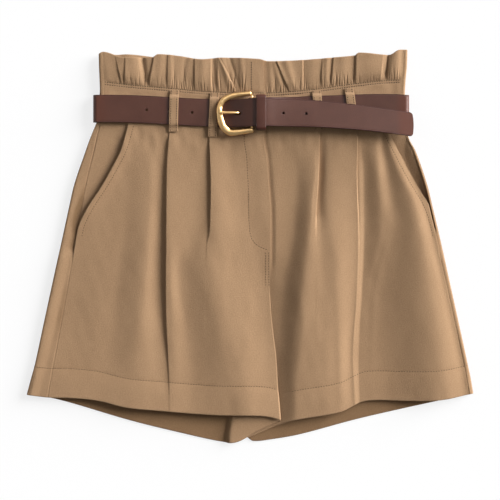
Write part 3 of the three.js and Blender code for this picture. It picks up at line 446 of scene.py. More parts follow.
def inner_fold(y):
    x = along(INNER, "y", "x", y)
    radius = (front_height("right", x - 3, y) - BACK_Z - LEG_LIFT) / 2 - 1.5 * SEAM
    turn = np.maximum(0.001, ease(-y, 42, 62) * math.pi / 2)
    length = radius * math.pi / 2
    return turn, length, length * np.sin(turn) / turn


def curl(edge, part, sense):
    """Points of the inner fold beyond an edge column: part is how far round, sense +1 turns down."""
    turn, length, _ = inner_fold(edge[:, 1])
    angle = turn * part
    return np.stack([
        edge[:, 0] + length / turn * np.sin(angle),
        edge[:, 1],
        edge[:, 2] - sense * length / turn * (1 - np.cos(angle)),
    ], -1)


# Small unevenness of the laid cloth, each its own way
band_creases = ripples(31, 17, 0.55)
waist_creases = ripples(32, 15, 1.5)
drift_wide = ripples(11, 62, 2.2)
drift_fine = ripples(12, 17, 1.6)


def cloth_drift(x, y):
    pinched = 0.32 * waist_creases(x, y) * bell(y - 122, 16)
    free = 0.22 * drift_wide(x, y) + 0.05 * drift_fine(x, y) + pinched
    return free * ease(y, TIGHT_Y, LOOSE_Y)


def turned(above):
    """1 on the turned part of a hem and 0 beyond it, from the height above the hem's edge."""
    return ease(-above, -HEM_WIDTH - 3, -HEM_WIDTH + 15)


def line_distance(points, x, y):
    """Distance from places on a panel to a polyline through the given points."""
    best = np.full(np.shape(x), 1e9)
    for (ax, ay), (bx, by) in zip(points, points[1:]):
        run = (bx - ax) ** 2 + (by - ay) ** 2
        t = np.clip(((x - ax) * (bx - ax) + (y - ay) * (by - ay)) / run, 0, 1)
        best = np.minimum(best, np.hypot(x - ax - t * (bx - ax), y - ay - t * (by - ay)))
    return best


# Lines of stitching on the fronts
def hem_line(leg):
    hem = HEMS[leg + "_front"]
    low, high = (-238, 31) if leg == "right" else (46, 240.5)
    xs = np.linspace(low, high, 60)
    return [(x, y) for x, y in zip(xs, along(hem, "x", "y", xs) + HEM_WIDTH)]


def pocket_line(leg, inside):
    sign = sign_of(leg)
    ys = np.linspace(133, 8, 26)
    return [(x - sign * inside, y) for x, y in zip(along(POCKETS, "y", leg, ys), ys)]


FLY_LINE = [
    (-6.1, 137), (-6.1, 116), (-3.2, 98), (-1.7, 69), (-1.0, 32), (0.2, 15), (2.6, 7.5), (7.1, 2.2),
    (13, -1.4), (19, -3.4), (21.6, -4),
]


def groove(leg, x, y):
    """How far stitching pulls the face of a front down."""
    depth = 0.1 * bell(line_distance(pocket_line(leg, 6.2), x, y), 0.9)
    hem = along(HEMS[leg + "_front"], "x", "y", x) + HEM_WIDTH
    depth = depth + 0.12 * bell(y - hem, 0.9)
    if leg == "right":
        depth = depth + 0.16 * bell(line_distance(FLY_LINE, x, y), 0.9)
    return depth


# Finishes --------------------------------------------------------------------------------------
class Level:
    """One socket of a finish, on which sums are done as on a number."""

    def __init__(self, finish, socket):
        self.finish, self.socket = finish, socket

    def sum(self, operation, *values):
        return self.finish.node("ShaderNodeMath", {"operation": operation}, dict(enumerate(values)))

    def __add__(self, other):
        return self.sum("ADD", self, other)

    def __sub__(self, other):
        return self.sum("SUBTRACT", self, other)

    def __rsub__(self, other):
        return self.sum("SUBTRACT", other, self)

    def __mul__(self, other):
        return self.sum("MULTIPLY", self, other)

    def __truediv__(self, other):
        return self.sum("DIVIDE", self, other)

    __radd__, __rmul__ = __add__, __mul__

    def sine(self):
        return self.sum("SINE", self)

    def size(self):
        return self.sum("ABSOLUTE", self)

    def between(self, low, high):
        """0 below low, 1 above high, smooth between; the other way round where low is above high."""
        ends = {"From Min": low, "From Max": high, "To Min": 0.0, "To Max": 1.0}
        return self.finish.node(
            "ShaderNodeMapRange", {"interpolation_type": "SMOOTHSTEP"}, {"Value": self, **ends})


class Finish:
    """A material, with its Principled shader's own sockets set to constants."""

    def __init__(self, name, **shader):
        self.material = bpy.data.materials.new(name)
        self.material.use_nodes = True
        self.tree = self.material.node_tree
        self.shader = self.tree.nodes["Principled BSDF"]
        for socket, value in shader.items():
            self.shader.inputs[socket.replace("_", " ")].default_value = value

    def node(self, kind, settings=None, values=None, out=0):
        made = self.tree.nodes.new(kind)
        for key, value in (settings or {}).items():
            setattr(made, key, value)
        for key, value in (values or {}).items():
            if isinstance(value, Level):
                self.tree.links.new(value.socket, made.inputs[key])
            else:
                made.inputs[key].default_value = value
        return Level(self, made.outputs[out])

    def feed(self, socket, level):
        self.tree.links.new(level.socket, self.shader.inputs[socket])

    def cut(self):
        """Coordinates of the flat cut, in metres."""
        return self.node("ShaderNodeUVMap", {"uv_map": "cut"})

    def place(self):
        return self.node("ShaderNodeTexCoord", out="Object")

    def scaled(self, vector, x, y, z=1.0, turn=0.0):
        return self.node("ShaderNodeMapping", None, {
            "Vector": vector, "Scale": (x, y, z), "Rotation": (0, 0, turn)})

    def split(self, vector):
        parts = self.node("ShaderNodeSeparateXYZ", None, {"Vector": vector})
        outputs = parts.socket.node.outputs
        return [Level(self, outputs[i]) for i in range(3)]

    def noise(self, vector, scale, detail=2.0, rough=0.5):
        return self.node("ShaderNodeTexNoise", {"noise_dimensions": "3D"}, {
            "Vector": vector, "Scale": scale, "Detail": detail, "Roughness": rough})

    def cells(self, vector, scale, feature="F1"):
        return self.node("ShaderNodeTexVoronoi", {"feature": feature}, {"Vector": vector, "Scale": scale})

    def blend(self, share, a, b):
        settings = {"data_type": "RGBA", "blend_type": "MIX"}
        return self.node("ShaderNodeMix", settings, {0: share, 6: a, 7: b}, out=2)

    def bump(self, height, distance, strength=1.0, under=None):
        values = {"Height": height, "Distance": distance, "Strength": strength}
        if under is not None:
            values["Normal"] = under
        return self.node("ShaderNodeBump", None, values)


def shade(red, green, blue):
    """A colour from its 0 to 255 display values."""
    def linear(value):
        value /= 255
        return value / 12.92 if value <= 0.04045 else ((value + 0.055) / 1.055) ** 2.4
    return (linear(red), linear(green), linear(blue), 1.0)


def twill_finish(name, colour, dark, inside=None):
    """Brushed cotton twill: fine slanting wales, slubs along the warp and a soft mottle; given inside
    colours, the cloth low down is painted darker as shade.
    """
    f = Finish(name, Roughness=0.9, Sheen_Weight=0.08, Sheen_Roughness=0.45, Specular_IOR_Level=0.12)
    cut = f.cut()
    across, down, _ = f.split(cut)
    wale = ((across + down * 0.62) * (2 * math.pi / 0.00095)).sine()
    weft = (down * (2 * math.pi / 0.0007)).sine()
    slub = f.noise(f.scaled(cut, 1500.0, 150.0), 1.0, 2.0)
    fleck = f.noise(f.scaled(cut, 900.0, 700.0), 1.0, 2.0, 0.7)
    mottle = f.noise(f.scaled(cut, 45.0, 30.0), 1.0, 3.0)
    tone = 0.5 + (slub - 0.5) * 0.7 + (fleck - 0.5) * 1.5 + (mottle - 0.5) * 0.5 + wale * 0.1
    face = f.blend(tone, dark, colour)
    # Painted shade: with inside colours, the cloth below 5.6 to 6.4 mm up is blended to them, darker, as the
    # shade inside the leg openings and under the front hems.
    if inside:
        _, _, z = f.split(f.place())
        face = f.blend(z.between(0.0064, 0.0056), face, f.blend(tone, *inside))
    f.feed("Base Color", face)
    height = wale * 0.5 + weft * 0.2 + (fleck - 0.5) * 1.6 + (slub - 0.5) * 1.2
    f.feed("Normal", f.bump(height, 0.0001, 0.9))
    return f.material


def thread_finish(name, colour, dark):
    f = Finish(name, Roughness=0.7, Specular_IOR_Level=0.3)
    twist = f.noise(f.place(), 2600.0, 1.0)
    f.feed("Base Color", f.blend(twist, dark, colour))
    return f.material


def leather_finish(name, body, stretched_and_shaded, edge, gloss, flexes):
    """Full-grain belt leather: pebbled grain, burnished edges, redder where it is bent round the sides; on
    the bend at +X, where the side light strikes, that colour is also painted shade.
    """
    f = Finish(name, Specular_IOR_Level=0.4)
    cut = f.cut()
    _, down, _ = f.split(cut)
    place = f.place()
    grain = f.cells(place, 1500.0)
    pores = f.noise(place, 1100.0, 4.0, 0.7)
    cloud = f.noise(place, 60.0, 3.0)
    tone = 0.5 + (cloud - 0.5) * 0.8 + (pores - 0.5) * 1.2
    colour = f.blend(tone, body[0], body[1])
    # Stretched leather is redder at both bends, its real colour; at +X it is laid on fully and kept dark,
    # painted shade on the fold that the side light falls on.
    if flexes:
        x, _, _ = f.split(place)
        bend_and_shade = x.between(0.158, 0.168) * 0.9 + x.between(-0.152, -0.166) * (0.2 + cloud * 0.5)
        colour = f.blend(bend_and_shade, colour, stretched_and_shaded)
    rim = down.size().between(0.0139, 0.0149)
    f.feed("Base Color", f.blend(rim, colour, edge))
    f.feed("Roughness", gloss + (cloud - 0.5) * 0.16 + (pores - 0.5) * 0.3)
    crease = down.size().between(0.01355, 0.01385) * down.size().between(0.01415, 0.01385)
    height = grain * -0.6 + pores * 1.6 - crease * 2.5
    f.feed("Normal", f.bump(height, 0.00012, 0.8))
    return f.material


def brass_finish(name):
    """Cast and hand-hammered gilt brass, paler and deeper gold in random patches."""
    f = Finish(name, Metallic=1.0)
    place = f.place()
    cloud = f.noise(place, 240.0, 3.0, 0.6)
    dents = f.cells(place, 260.0, "SMOOTH_F1")
    scratch = f.noise(f.scaled(place, 1500.0, 400.0, 900.0), 1.0, 2.0)
    f.feed("Base Color", f.blend(cloud, shade(232, 176, 108), shade(255, 222, 164)))
    f.feed("Roughness", 0.26 + cloud * 0.18 + (scratch - 0.5) * 0.1)
    f.feed("Normal", f.bump(dents + scratch * 0.08, 0.0004, 0.35))
    return f.material


KHAKI = shade(163, 132, 101)
KHAKI_DARK = shade(140, 111, 83)
TWILL_CLOTH = twill_finish("khaki twill", KHAKI, KHAKI_DARK)
# The back panels' twill, painted darker below about 6 mm up as the shade inside the legs.
TWILL_SHADED_LOW = twill_finish(
    "khaki twill of the back, painted darker low down", KHAKI, KHAKI_DARK, inside=(shade(118, 91, 64), shade(139, 109, 80)))
THREAD = thread_finish("khaki sewing thread", shade(98, 72, 47), shade(70, 50, 31))
TOP_THREAD = thread_finish("brown topstitching thread", shade(70, 49, 30), shade(48, 33, 20))
BELT_LEATHER = leather_finish(
    "brown belt leather", body=(shade(66, 36, 26), shade(84, 47, 34)), stretched_and_shaded=shade(84, 41, 24),
    edge=shade(60, 24, 18), gloss=0.44, flexes=True)
KEEPER_LEATHER = leather_finish(
    "red brown keeper leather", body=(shade(62, 30, 20), shade(78, 40, 27)), stretched_and_shaded=shade(86, 44, 28),
    edge=shade(50, 22, 16), gloss=0.36, flexes=False)
GILT_BRASS = brass_finish("gilt brass")


# Pieces ---------------------------------------------------------------------------------------
def put(name, mesh, finish, nodes=()):
    piece = bpy.data.objects.new(name, mesh)
    bpy.context.collection.objects.link(piece)
    piece.data.materials.append(finish)
    for face in piece.data.polygons:
        face.use_smooth = True
    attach(piece, "root")
    if nodes:
        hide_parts(*nodes)
    return piece


def as_mesh(name, bm):
    mesh = bpy.data.meshes.new(name)
    bm.to_mesh(mesh)
    bm.free()
    return mesh


def in_place(points):
    return (np.asarray(points, float) + ORIGIN) * MM


def grid_of(bm, rows, columns):
    """A flat grid, and for each of its corners the row and the column that it stands for."""
    bmesh.ops.create_grid(bm, x_segments=columns - 1, y_segments=rows - 1, size=0.5)
    return {vert: (round((0.5 - vert.co.y) * (rows - 1)), round((vert.co.x + 0.5) * (columns - 1)))
            for vert in bm.verts}


def lay_cut(bm, layer, cut):
    """Writes each corner's place in the flat cut, given in millimetres, to the UV map in metres."""
    for face in bm.faces:
        for loop in face.loops:
            loop[layer].uv = [value * MM for value in cut[loop.vert]]


def grid_mesh(name, points, flat, outward=True, closed=False):
    """A sheet through rows by columns of points, with its cut laid out as its UV map in metres."""
    bm = bmesh.new()
    layer = bm.loops.layers.uv.new("cut")
    spot = grid_of(bm, *points.shape[:2])
    placed = in_place(points)
    for vert, at in spot.items():
        vert.co = placed[at]
    lay_cut(bm, layer, {vert: flat[at] for vert, at in spot.items()})
    if not outward:
        bmesh.ops.reverse_faces(bm, faces=bm.faces[:])
    if closed:
        bmesh.ops.remove_doubles(bm, verts=bm.verts[:], dist=1e-6)
    return as_mesh(name, bm)


def walled(piece, thickness, round_edge, segments=2, angle=50):
    solidify = piece.modifiers.new("wall", "SOLIDIFY")
    solidify.thickness = thickness * MM
    solidify.offset = 0
    solidify.use_quality_normals = True
    bevel = piece.modifiers.new("rounded edge", "BEVEL")
    bevel.width = round_edge * MM
    bevel.segments = segments
    bevel.limit_method = "ANGLE"
    bevel.angle_limit = math.radians(angle)
    return piece


def cloth_piece(name, node, laid, flat, edge, segments=1, finish=TWILL_CLOTH, outward=True):
    mesh = grid_mesh(name, laid, flat, outward=outward)
    return walled(put(name, mesh, finish, [node]), CLOTH, edge, segments)


def normals(grid, at, step=0.4):
    """Unit normals of a laid sheet, grid being its function of the rows' heights."""
    points = grid(at)
    across = np.gradient(points, axis=1)
    up = grid(at + step) - points
    normal = np.cross(across, up)
    return points, normal / np.linalg.norm(normal, axis=-1, keepdims=True)


PANEL_RUN = 290           # length of a panel above its hem, for the number of its rows
HEM_GUESS = -180          # height of a hem before it is found


def down_rows(step):
    """Rows of a panel: weights of the waist and the hem in each row's height, and its layer's offset."""
    count = round(PANEL_RUN / step)
    rows = [(1 - f, f, (HEM_WIDTH + 3) * f, 0) for f in np.linspace(0, 1, count)]
    rows += [(0, 1, d, TURN * ease(d, HEM_WIDTH + 3, HEM_WIDTH - 15))
             for d in (33.5, 32.6, 32, 31.4, 30, 27, 23, 19, 15, 11, 7.5, 4.5, 2.2, 1)]
    rows += [(0, 1, TURN * (1 - math.cos(a)), TURN * math.sin(a))
             for a in np.radians([75, 50, 25, 0, -25, -50, -75])]
    rows += [(0, 1, d, -TURN) for d in (1, 3, 7, 12, 18, 24, HEM_WIDTH - 2)]
    return [np.array(column, float) for column in zip(*rows)]


def panel_heights(x_of, hem, columns, step=2.2):
    """Height of every point of a panel, whose places across are x_of(y)."""
    waist, edge, above, layer = down_rows(step)
    y = np.repeat((waist * (WAIST_Y - SEAM / 2) + edge * HEM_GUESS + above)[:, None], columns, 1)
    for _ in range(6):
        y = waist[:, None] * (WAIST_Y - SEAM / 2) + edge[:, None] * hem(x_of(y)) + above[:, None]
    return y, layer[:, None] * np.ones(columns)


def spans(*rows):
    """Weights of the guides and offsets for the columns between them.

    Each row is a guide and an offset, the next guide and its offset, and a count of columns."""
    weights, offsets = [], []
    guides = 1 + max(max(row[0], row[2]) for row in rows)
    for a, off_a, b, off_b, count in rows:
        for i in range(count):
            f = i / count
            weight = np.zeros(guides)
            weight[a] += 1 - f
            weight[b] += f
            weights.append(weight)
            offsets.append(mix(off_a, off_b, f))
    weight = np.zeros(guides)
    weight[rows[-1][2]] = 1
    weights.append(weight)
    offsets.append(rows[-1][3])
    return np.array(weights), np.array(offsets)


MEASURED_COLUMN = 40      # the column of a panel that its cut's length is measured down


def sewn_panel(leg, part, finish, plain, cloth, start=0.0, outward=True):
    """A panel's piece: plain is its form, measured across for the cut, and cloth is the form as it lies."""
    run = lengths(plain, 1) + start
    down = -lengths(cloth[:, MEASURED_COLUMN])[:, None] + 0 * run
    node = f"{leg}_{part}"
    flat = np.stack([run, down], -1)
    return cloth_piece(node + "_panel", node, cloth, flat, PANEL_EDGE, 2, finish, outward)


def front_surface(leg, x, y, raised=0.0):
    """A point on the face of a front's cloth, in the middle of its wall."""
    z = front_height(leg, x, y) + raised
    return np.stack([x + pleat_shift(leg, x, y), y + 0 * x, z], -1)


def front_panel(leg):
    sign = sign_of(leg)

    def outer(y):
        pocket = np.where(y > POCKETS["y"][0], sign * along(POCKETS, "y", leg, y), 1e9)
        return sign * np.minimum(sign * side_seam(leg, y), pocket) - sign * 0.05

    def inner(y):
        if leg == "right":
            return along(INNER, "y", "x", y) - TWILL / 2 - inner_fold(y)[2]
        return along(UNDER_EDGE, "y", "x", y)

    creases = [lambda y, line=line: along(line, "y", "x", y) for one, _, line in PLEATS if one == leg]
    near = 7      # the columns are closest within this distance of a crease
    if leg == "right":
        guides = [outer, *creases, inner]
        fine, counts, sides = (0, 0, 0, 3, 9), (46, 34, 14, 34, 28), (3, 0)
    else:
        guides = [inner, *creases, outer]
        fine, counts, sides = (3, -3, 3, 0, 9), (32, 34, 13, 34, 44), (0, -3)
    parts = [
        (0, sides[0], 1, -near, counts[0]), (1, -near, 1, near, counts[1]), (1, near, 2, -near, counts[2]),
        (2, -near, 2, near, counts[3]), (2, near, 3, sides[1], counts[4])]
    weights, offsets = spans(*([fine] + parts if leg == "right" else parts + [fine]))

    def x_of(y):
        return sum(guide(y) * weights[:, k] for k, guide in enumerate(guides)) + offsets

    hem = HEMS[leg + "_front"]
    y, layer = panel_heights(x_of, lambda x: along(hem, "x", "y", x), len(offsets))
    turns = np.linspace(0, 1, 9)[1:] if leg == "right" else []

    def grid(at):
        x = x_of(at)
        above = at - along(hem, "x", "y", x)
        raised = HEM_RAISE * turned(above)
        points = front_surface(leg, x, at, raised + cloth_drift(x, at))
        if len(turns):
            points = np.concatenate([points, *[curl(points[:, -1], part, 1)[:, None] for part in turns]], 1)
        return points

    points, normal = normals(grid, y)
    extra = points.shape[1] - layer.shape[1]
    layer = np.concatenate([layer, np.repeat(layer[:, -1:], extra, 1)], 1)
    x = points[..., 0]
    seam = np.abs(x - side_seam(leg, points[..., 1]))
    dip = groove(leg, x, points[..., 1]) + SEAM_DIP * bell(seam, SEAM_WIDTH)
    laid = points + normal * (layer - dip)[..., None]
    return sewn_panel(leg, "front", TWILL_CLOTH, points, laid, start=points[:, :1, 0])


def back_panel(leg):
    sign = sign_of(leg)
    under, over = HEMS[leg + "_back"], HEMS[leg + "_front"]

    def inner(y):
        if leg == "left":
            return mix(SEAT_SEAM_X + 0.05, along(UNDER_EDGE, "y", "x", y), ease(-y, 42, 50))
        _, length, run = inner_fold(y)
        return mix(SEAT_SEAM_X - 0.05 - length, along(INNER, "y", "x", y) - TWILL / 2 - run, ease(-y, 42, 58))

    flat_count, arc_count, top_count = 90, 15, 16
    share = np.concatenate([np.linspace(0, 0.25, 34)[:-1], np.linspace(0.25, 1, flat_count - 33)])
    arcs = np.radians(np.linspace(0, 180, arc_count + 1)[1:-1])
    square = np.where(arcs > math.pi / 2, 0.6, 1.0)
    tops = 1 - np.linspace(1, 0, top_count) ** 1.7
    a, b = len(share), len(share) + len(arcs)      # the first columns of the fold and of the top side
    columns = b + len(tops)

    def x_of(y):
        ya, yb, yc = np.split(y, [a, b], axis=1)
        return np.concatenate([
            mix(inner(ya), fold_start(leg, ya), share),
            fold_start(leg, yb) + sign * fold_radius(yb) * np.sin(arcs) ** square,
            mix(fold_start(leg, yc), side_seam(leg, yc) + sign * 0.05, tops),
        ], 1)

    def hem(x):
        lower = along(under, "x", "y", x)
        upper = along(over, "x", "y", x)
        lower[:, a:] = upper[:, a:]
        return lower

    y, layer = panel_heights(x_of, hem, columns, 2.6)
    turns = np.linspace(1, 0, 9)[:-1] if leg == "right" else []

    def grid(at):
        x = x_of(at)
        above = at - hem(x)
        raised = HEM_RAISE * turned(above)
        z = np.empty_like(x)
        z[:, :a] = back_height(leg, x[:, :a], at[:, :a]) + raised[:, :a]
        z[:, a:b] = (BACK_Z + back_lift(at[:, a:b]) + raised[:, a:b] * np.cos(arcs)
                     + fold_radius(at[:, a:b]) * (1 - np.sign(np.cos(arcs)) * np.abs(np.cos(arcs)) ** square))
        z[:, b:] = facing_height(leg, x[:, b:], at[:, b:]) + raised[:, b:]
        z[:, b:] += cloth_drift(x[:, b:], at[:, b:]) * tops
        points = np.stack([x, at, z], -1)
        if len(turns):
            points = np.concatenate([*[curl(points[:, 0], part, -1)[:, None] for part in turns], points], 1)
        return points

    points, normal = normals(grid, y)
    if leg == "left":
        normal = -normal
    extra = points.shape[1] - columns
    layer = np.concatenate([np.repeat(layer[:, :1], extra, 1), layer], 1)
    seam = np.abs(points[..., 0] - side_seam(leg, points[..., 1]))
    top_side = np.arange(points.shape[1]) > points.shape[1] - top_count - 2
    dip = SEAM_DIP * bell(seam, SEAM_WIDTH) * top_side
    laid = points + normal * (layer - dip)[..., None]
    return sewn_panel(leg, "back", TWILL_SHADED_LOW, points, laid, outward=leg == "right")


def hip_facing(leg):
    sign = sign_of(leg)
    y = np.repeat(np.linspace(WAIST_Y - SEAM / 2, 2, 62)[:, None], 24, 1)
    part = np.linspace(0, 1, 24)

    def grid(at):
        seam = side_seam(leg, at) - sign * 0.05
        x = mix(seam, along(POCKETS, "y", leg, at) - sign * 13, part)
        return np.stack([x, at, facing_height(leg, x, at) - 0.1], -1)

    points = grid(y)
    return cloth_piece(leg + "_pocket_facing", leg + "_hip_facing", points, points[..., :2], FACING_EDGE,
                       outward=leg == "right")


# Fine gathers of each frill: where a run of them starts and ends, their spacing, depth and reach
GATHERS = {
    "right": [
        (-161, -148, 5, 0.3, 0.3), (-146, -136, 2.6, 0.8, 0.5), (-134, -118, 3.6, 0.6, 0.4),
        (-118, -108, 2.4, 0.9, 0.5), (-104, -92, 3.4, 0.6, 0.35), (-88, -62, 2.3, 1.0, 0.6),
        (-58, -44, 3, 0.7, 0.4), (-42, -30, 2.4, 0.9, 0.6), (-26, -5, 2.3, 1.1, 0.6), (-4, 1, 3, 0.5, 0.4),
        (1, 14, 6, 0.15, 0.2),
    ],
    "left": [
        (17, 30, 2.2, 1.0, 0.45), (32, 44, 2.6, 0.9, 0.5), (46, 60, 2.5, 0.9, 0.4), (60, 78, 3, 0.7, 0.4),
        (79, 90, 2.8, 0.7, 0.4), (90, 115, 2.5, 0.95, 0.45), (118, 146, 3.4, 0.7, 0.3),
        (146, 168, 2.4, 0.9, 0.6),
    ],
    "back": [(-160, 165, 3.2, 0.8, 0.5)],
}


def gathers(piece, seed):
    draw = random.Random(seed)
    made = []
    for start, end, pitch, deep, reach in GATHERS[piece]:
        x = start + pitch * draw.uniform(0.2, 0.8)
        while x < end:
            made.append((x, draw.uniform(-4.5, 4.5), draw.uniform(0.3, 0.55), deep * draw.uniform(0.4, 1.0),
                         reach * draw.uniform(0.4, 1.4)))
            x += pitch * draw.uniform(0.6, 1.45)
    return made


ALL_GATHERS = {"right": gathers("right", 3), "left": gathers("left", 4), "back": gathers("back", 5)}


def gather_height(piece, x, t):
    """Creases that fan up from the seam, with the cloth standing up between them."""
    up = np.maximum(t, 0)
    height = 0.5 * ease(t, 0, 0.12) * (1 - ease(t, 0.3, 0.8)) + 0 * x
    for base, lean, wide, deep, reach in ALL_GATHERS[piece]:
        strength = ease(t, -0.03, 0.07) * (1 - ease(up, 0.25 * reach, reach))
        away = np.abs(x - base - lean * up) / (wide * (1 + 1.6 * up))
        height = height - deep * strength * np.exp(-away ** 1.2)
    return height


def lap_height(piece, x, t):
    height = 0
    for base, tip, over, high, length, fade in FRILL_LAPS[piece]:
        dx = (x - mix(base, tip, t)) * over
        climb = ease(dx, -0.5, 0.5)
        high = high * (1 - fade * ease(t, 0.35, 1.0))
        height = height + high * climb * np.exp(-np.maximum(dx, 0) / length)
        height = height - 0.6 * high * (1 - climb) * np.exp(np.minimum(dx, 0) / 2.5)
    return height


def frill_wave(piece, x, y, top, folds, puff):
    seam = along(BACK_FRILL_SEAM if piece == "back" else FRILL_SEAM, "x", "y", x)
    t = np.clip((y - seam) / (top - seam), -1, 1)
    height = lap_height(piece, x, t)
    for base, tip, wide, high in FRILL_FOLDS[piece]:
        height = height + high * bell(x - mix(base, tip, t), wide)
    stand = -BACK_FRILL_SINK if piece == "back" else FRILL_PUFF
    wave = height * folds * ease(t, -0.04, 0.3) + stand * puff * ease(t, -0.04, 0.7)
    stitched = 0.2 * (bell(y - seam, 0.8) + bell(y - seam + 2.7, 0.8))
    return wave + (gather_height(piece, x, t) - stitched) * folds


def frill_height(leg, x, y, top, folds, puff):
    """Height of the middle of a front band's wall; the right one laps over the left."""
    lapped = LAPPED_BAND * ease(x, -26, 0) if leg == "right" else 0
    return FRONT_BAND_Z + lapped + frill_wave(leg, x, y, top, folds, puff)


def band_rows(top, seam):
    """Rows of a band, as heights and layers: the turned top edge, the frill, its seam, down to the waist."""
    rows = [(mix(top, seam, 0.3), -TURN), (top - 4, -TURN)]
    rows += [(top - TURN * (1 - math.cos(a)), TURN * math.sin(a))
             for a in np.radians([-80, -50, -25, 0, 25, 50, 80])]
    rows += [(mix(top, seam + 1.5, f), TURN) for f in np.linspace(0.035, 1, 30)]
    rows += [(seam + d, TURN) for d in (1, 0.5, 0, -0.5, -1, -1.6, -2.2, -2.7, -3.2, -3.8, -5)]
    rows += [(mix(seam - 5, WAIST_Y + SEAM / 2, f), TURN) for f in np.linspace(0, 1, 14)[1:]]
    y = np.array([np.broadcast_to(row[0], len(top)) for row in rows], float)
    return y, np.array([row[1] for row in rows])[:, None] + 0 * y


FRILL_LEVEL = 200.0       # the height at which the columns of the frills are laid out


def front_frill(leg):
    def left_edge(y):
        return along(BAND_SIDES, "y", "right_seam", y) + 0.05 if leg == "right" else 3.0 + 0 * y

    def right_edge(y):
        if leg == "right":
            return mix(17.4, 14.8, ease(y, 150, 200))
        return along(BAND_SIDES, "y", "left_seam", y) - 0.05

    count = 400
    part = np.linspace(0, 1, count)
    high = np.full(count, FRILL_LEVEL)
    across = mix(left_edge(high), right_edge(high), part)
    top, seam = along(FRILL_TOP, "x", "y", across), along(FRILL_SEAM, "x", "y", across)
    y, layer = band_rows(top, seam)

    def grid(at):
        x = mix(left_edge(at), right_edge(at), part)
        side = np.abs(x - (left_edge(at) if leg == "right" else right_edge(at)))
        end = np.minimum(np.abs(x - left_edge(at)), np.abs(x - right_edge(at)))
        z = frill_height(leg, x, at, top, ease(end, 0, 6), ease(side, 0, 30))
        below = np.interp(across, FRILL_SEAM["x"], FRILL_SEAM["y"]) - at
        z = z + 0.3 * band_creases(x, at) * ease(below, 1, 7) * ease(at, 139, 146) * ease(end, 0, 8)
        return np.stack([x, at, z], -1)

    points, normal = normals(grid, y)
    laid = points + normal * layer[..., None]
    return cloth_piece(leg + "_front_frill", leg + "_waist_frill", laid, points[..., :2], BAND_EDGE)


def back_frill():
    radius = (FRONT_BAND_Z - BACK_BAND_Z) / 2
    arcs = np.radians(np.linspace(0, 180, 13)[1:-1])
    over = np.linspace(0, 1, 5)
    flat_share = np.linspace(0, 1, 300)
    edge = len(over) + len(arcs)
    count = 2 * edge + len(flat_share)
    middle = slice(edge, edge + len(flat_share))

    def start(leg, y):
        return along(BAND_SIDES, "y", leg, y) - sign_of(leg) * (radius + BAND / 2)

    def side(leg, y):
        """From the side seam over the edge and down to the back."""
        sign = sign_of(leg)
        seam = along(BAND_SIDES, "y", leg + "_seam", y[:, :1]) + sign * 0.05
        begin = start(leg, y[:, :1])
        turn = arcs[::-1]
        x = np.concatenate([mix(seam, begin, over), begin + sign * radius * np.sin(turn)], 1)
        z = np.concatenate([np.full((len(y), len(over)), FRONT_BAND_Z),
                            np.repeat((BACK_BAND_Z + radius * (1 - np.cos(turn)))[None], len(y), 0)], 1)
        return x, z

    high = np.full((1, count), FRILL_LEVEL)
    right_x, _ = side("right", high[:, :edge])
    left_x, _ = side("left", high[:, :edge])
    flat_x = mix(start("right", high[:, :1]), start("left", high[:, :1]), flat_share)
    across = np.concatenate([right_x, flat_x, left_x[:, ::-1]], 1)[0]
    top, seam = along(FRILL_TOP, "x", "y", across), along(BACK_FRILL_SEAM, "x", "y", across)
    column, last = np.arange(len(flat_share)), len(flat_share) - 1
    blend = ease(column, 0, 26) * ease(-column, -last, 26 - last)
    top[middle] = mix(top[middle], along(BACK_FRILL_TOP, "x", "y", across[middle]), blend)
    y, layer = band_rows(top, seam)

    def grid(at):
        right_x, right_z = side("right", at[:, :edge])
        left_x, left_z = side("left", at[:, -edge:])
        ym = at[:, middle]
        xm = mix(start("right", ym), start("left", ym), flat_share)
        zm = BACK_BAND_Z + frill_wave("back", xm, ym, top[middle], blend, blend)
        x = np.concatenate([right_x, xm, left_x[:, ::-1]], 1)
        z = np.concatenate([right_z, zm, left_z[:, ::-1]], 1)
        return np.stack([x, at, z], -1)

    points, normal = normals(grid, y)
    laid = points - normal * layer[..., None]
    flat = np.stack([lengths(points, 1), points[..., 1]], -1)
    return cloth_piece("back_frill", "back_waist_frill", laid, flat, BAND_EDGE, outward=False)


# Belt loops: middle line of each from the frill's seam, over the belt, to its lower end
def front_loop_path(top_y, bottom_y, belt_y, bottom_z):
    over = FRONT_BELT_Z + BELT_THICK / 2 + 1.9 * SEAM + TAPE / 2
    band = FRONT_BAND_Z + BAND / 2 + SEAM + TAPE / 2
    upper, lower = belt_y + BELT_HALF, belt_y - BELT_HALF
    return [
        (top_y, band + 0.4), (upper + 2.6, band + 0.5), (upper + 1.4, over - 1.1), (upper - 0.6, over),
        (belt_y, over), (lower + 0.6, over), (lower - 1.4, over - 0.9), (lower - 3, bottom_z + 0.6),
        (bottom_y, bottom_z),
    ]


def back_loop_path():
    seat = BELT_LIFT - SEAM - TAPE / 2
    under = 0.72
    upper, lower = BELT_Y + BELT_HALF, BELT_Y - BELT_HALF
    return [
        (upper + 6, seat), (upper + 4.5, seat - 0.3), (upper + 1.6, under + 0.18),
        (upper - 1, under), (upper - 4, under), (lower + 4, under), (lower + 1, under),
        (lower - 1.6, under + 0.18), (lower - 4.5, seat - 0.3), (lower - 10, seat),
    ]


def smooth_path(points, count):
    """Evenly spaced points on a smooth line through a few."""
    points = np.asarray(points, float)
    s = lengths(points)
    rows = {"s": s, **{str(k): points[:, k] for k in range(points.shape[1])}}
    at = np.linspace(0, s[-1], count)
    return at, np.stack([along(rows, "s", str(k), at) for k in range(points.shape[1])], -1)


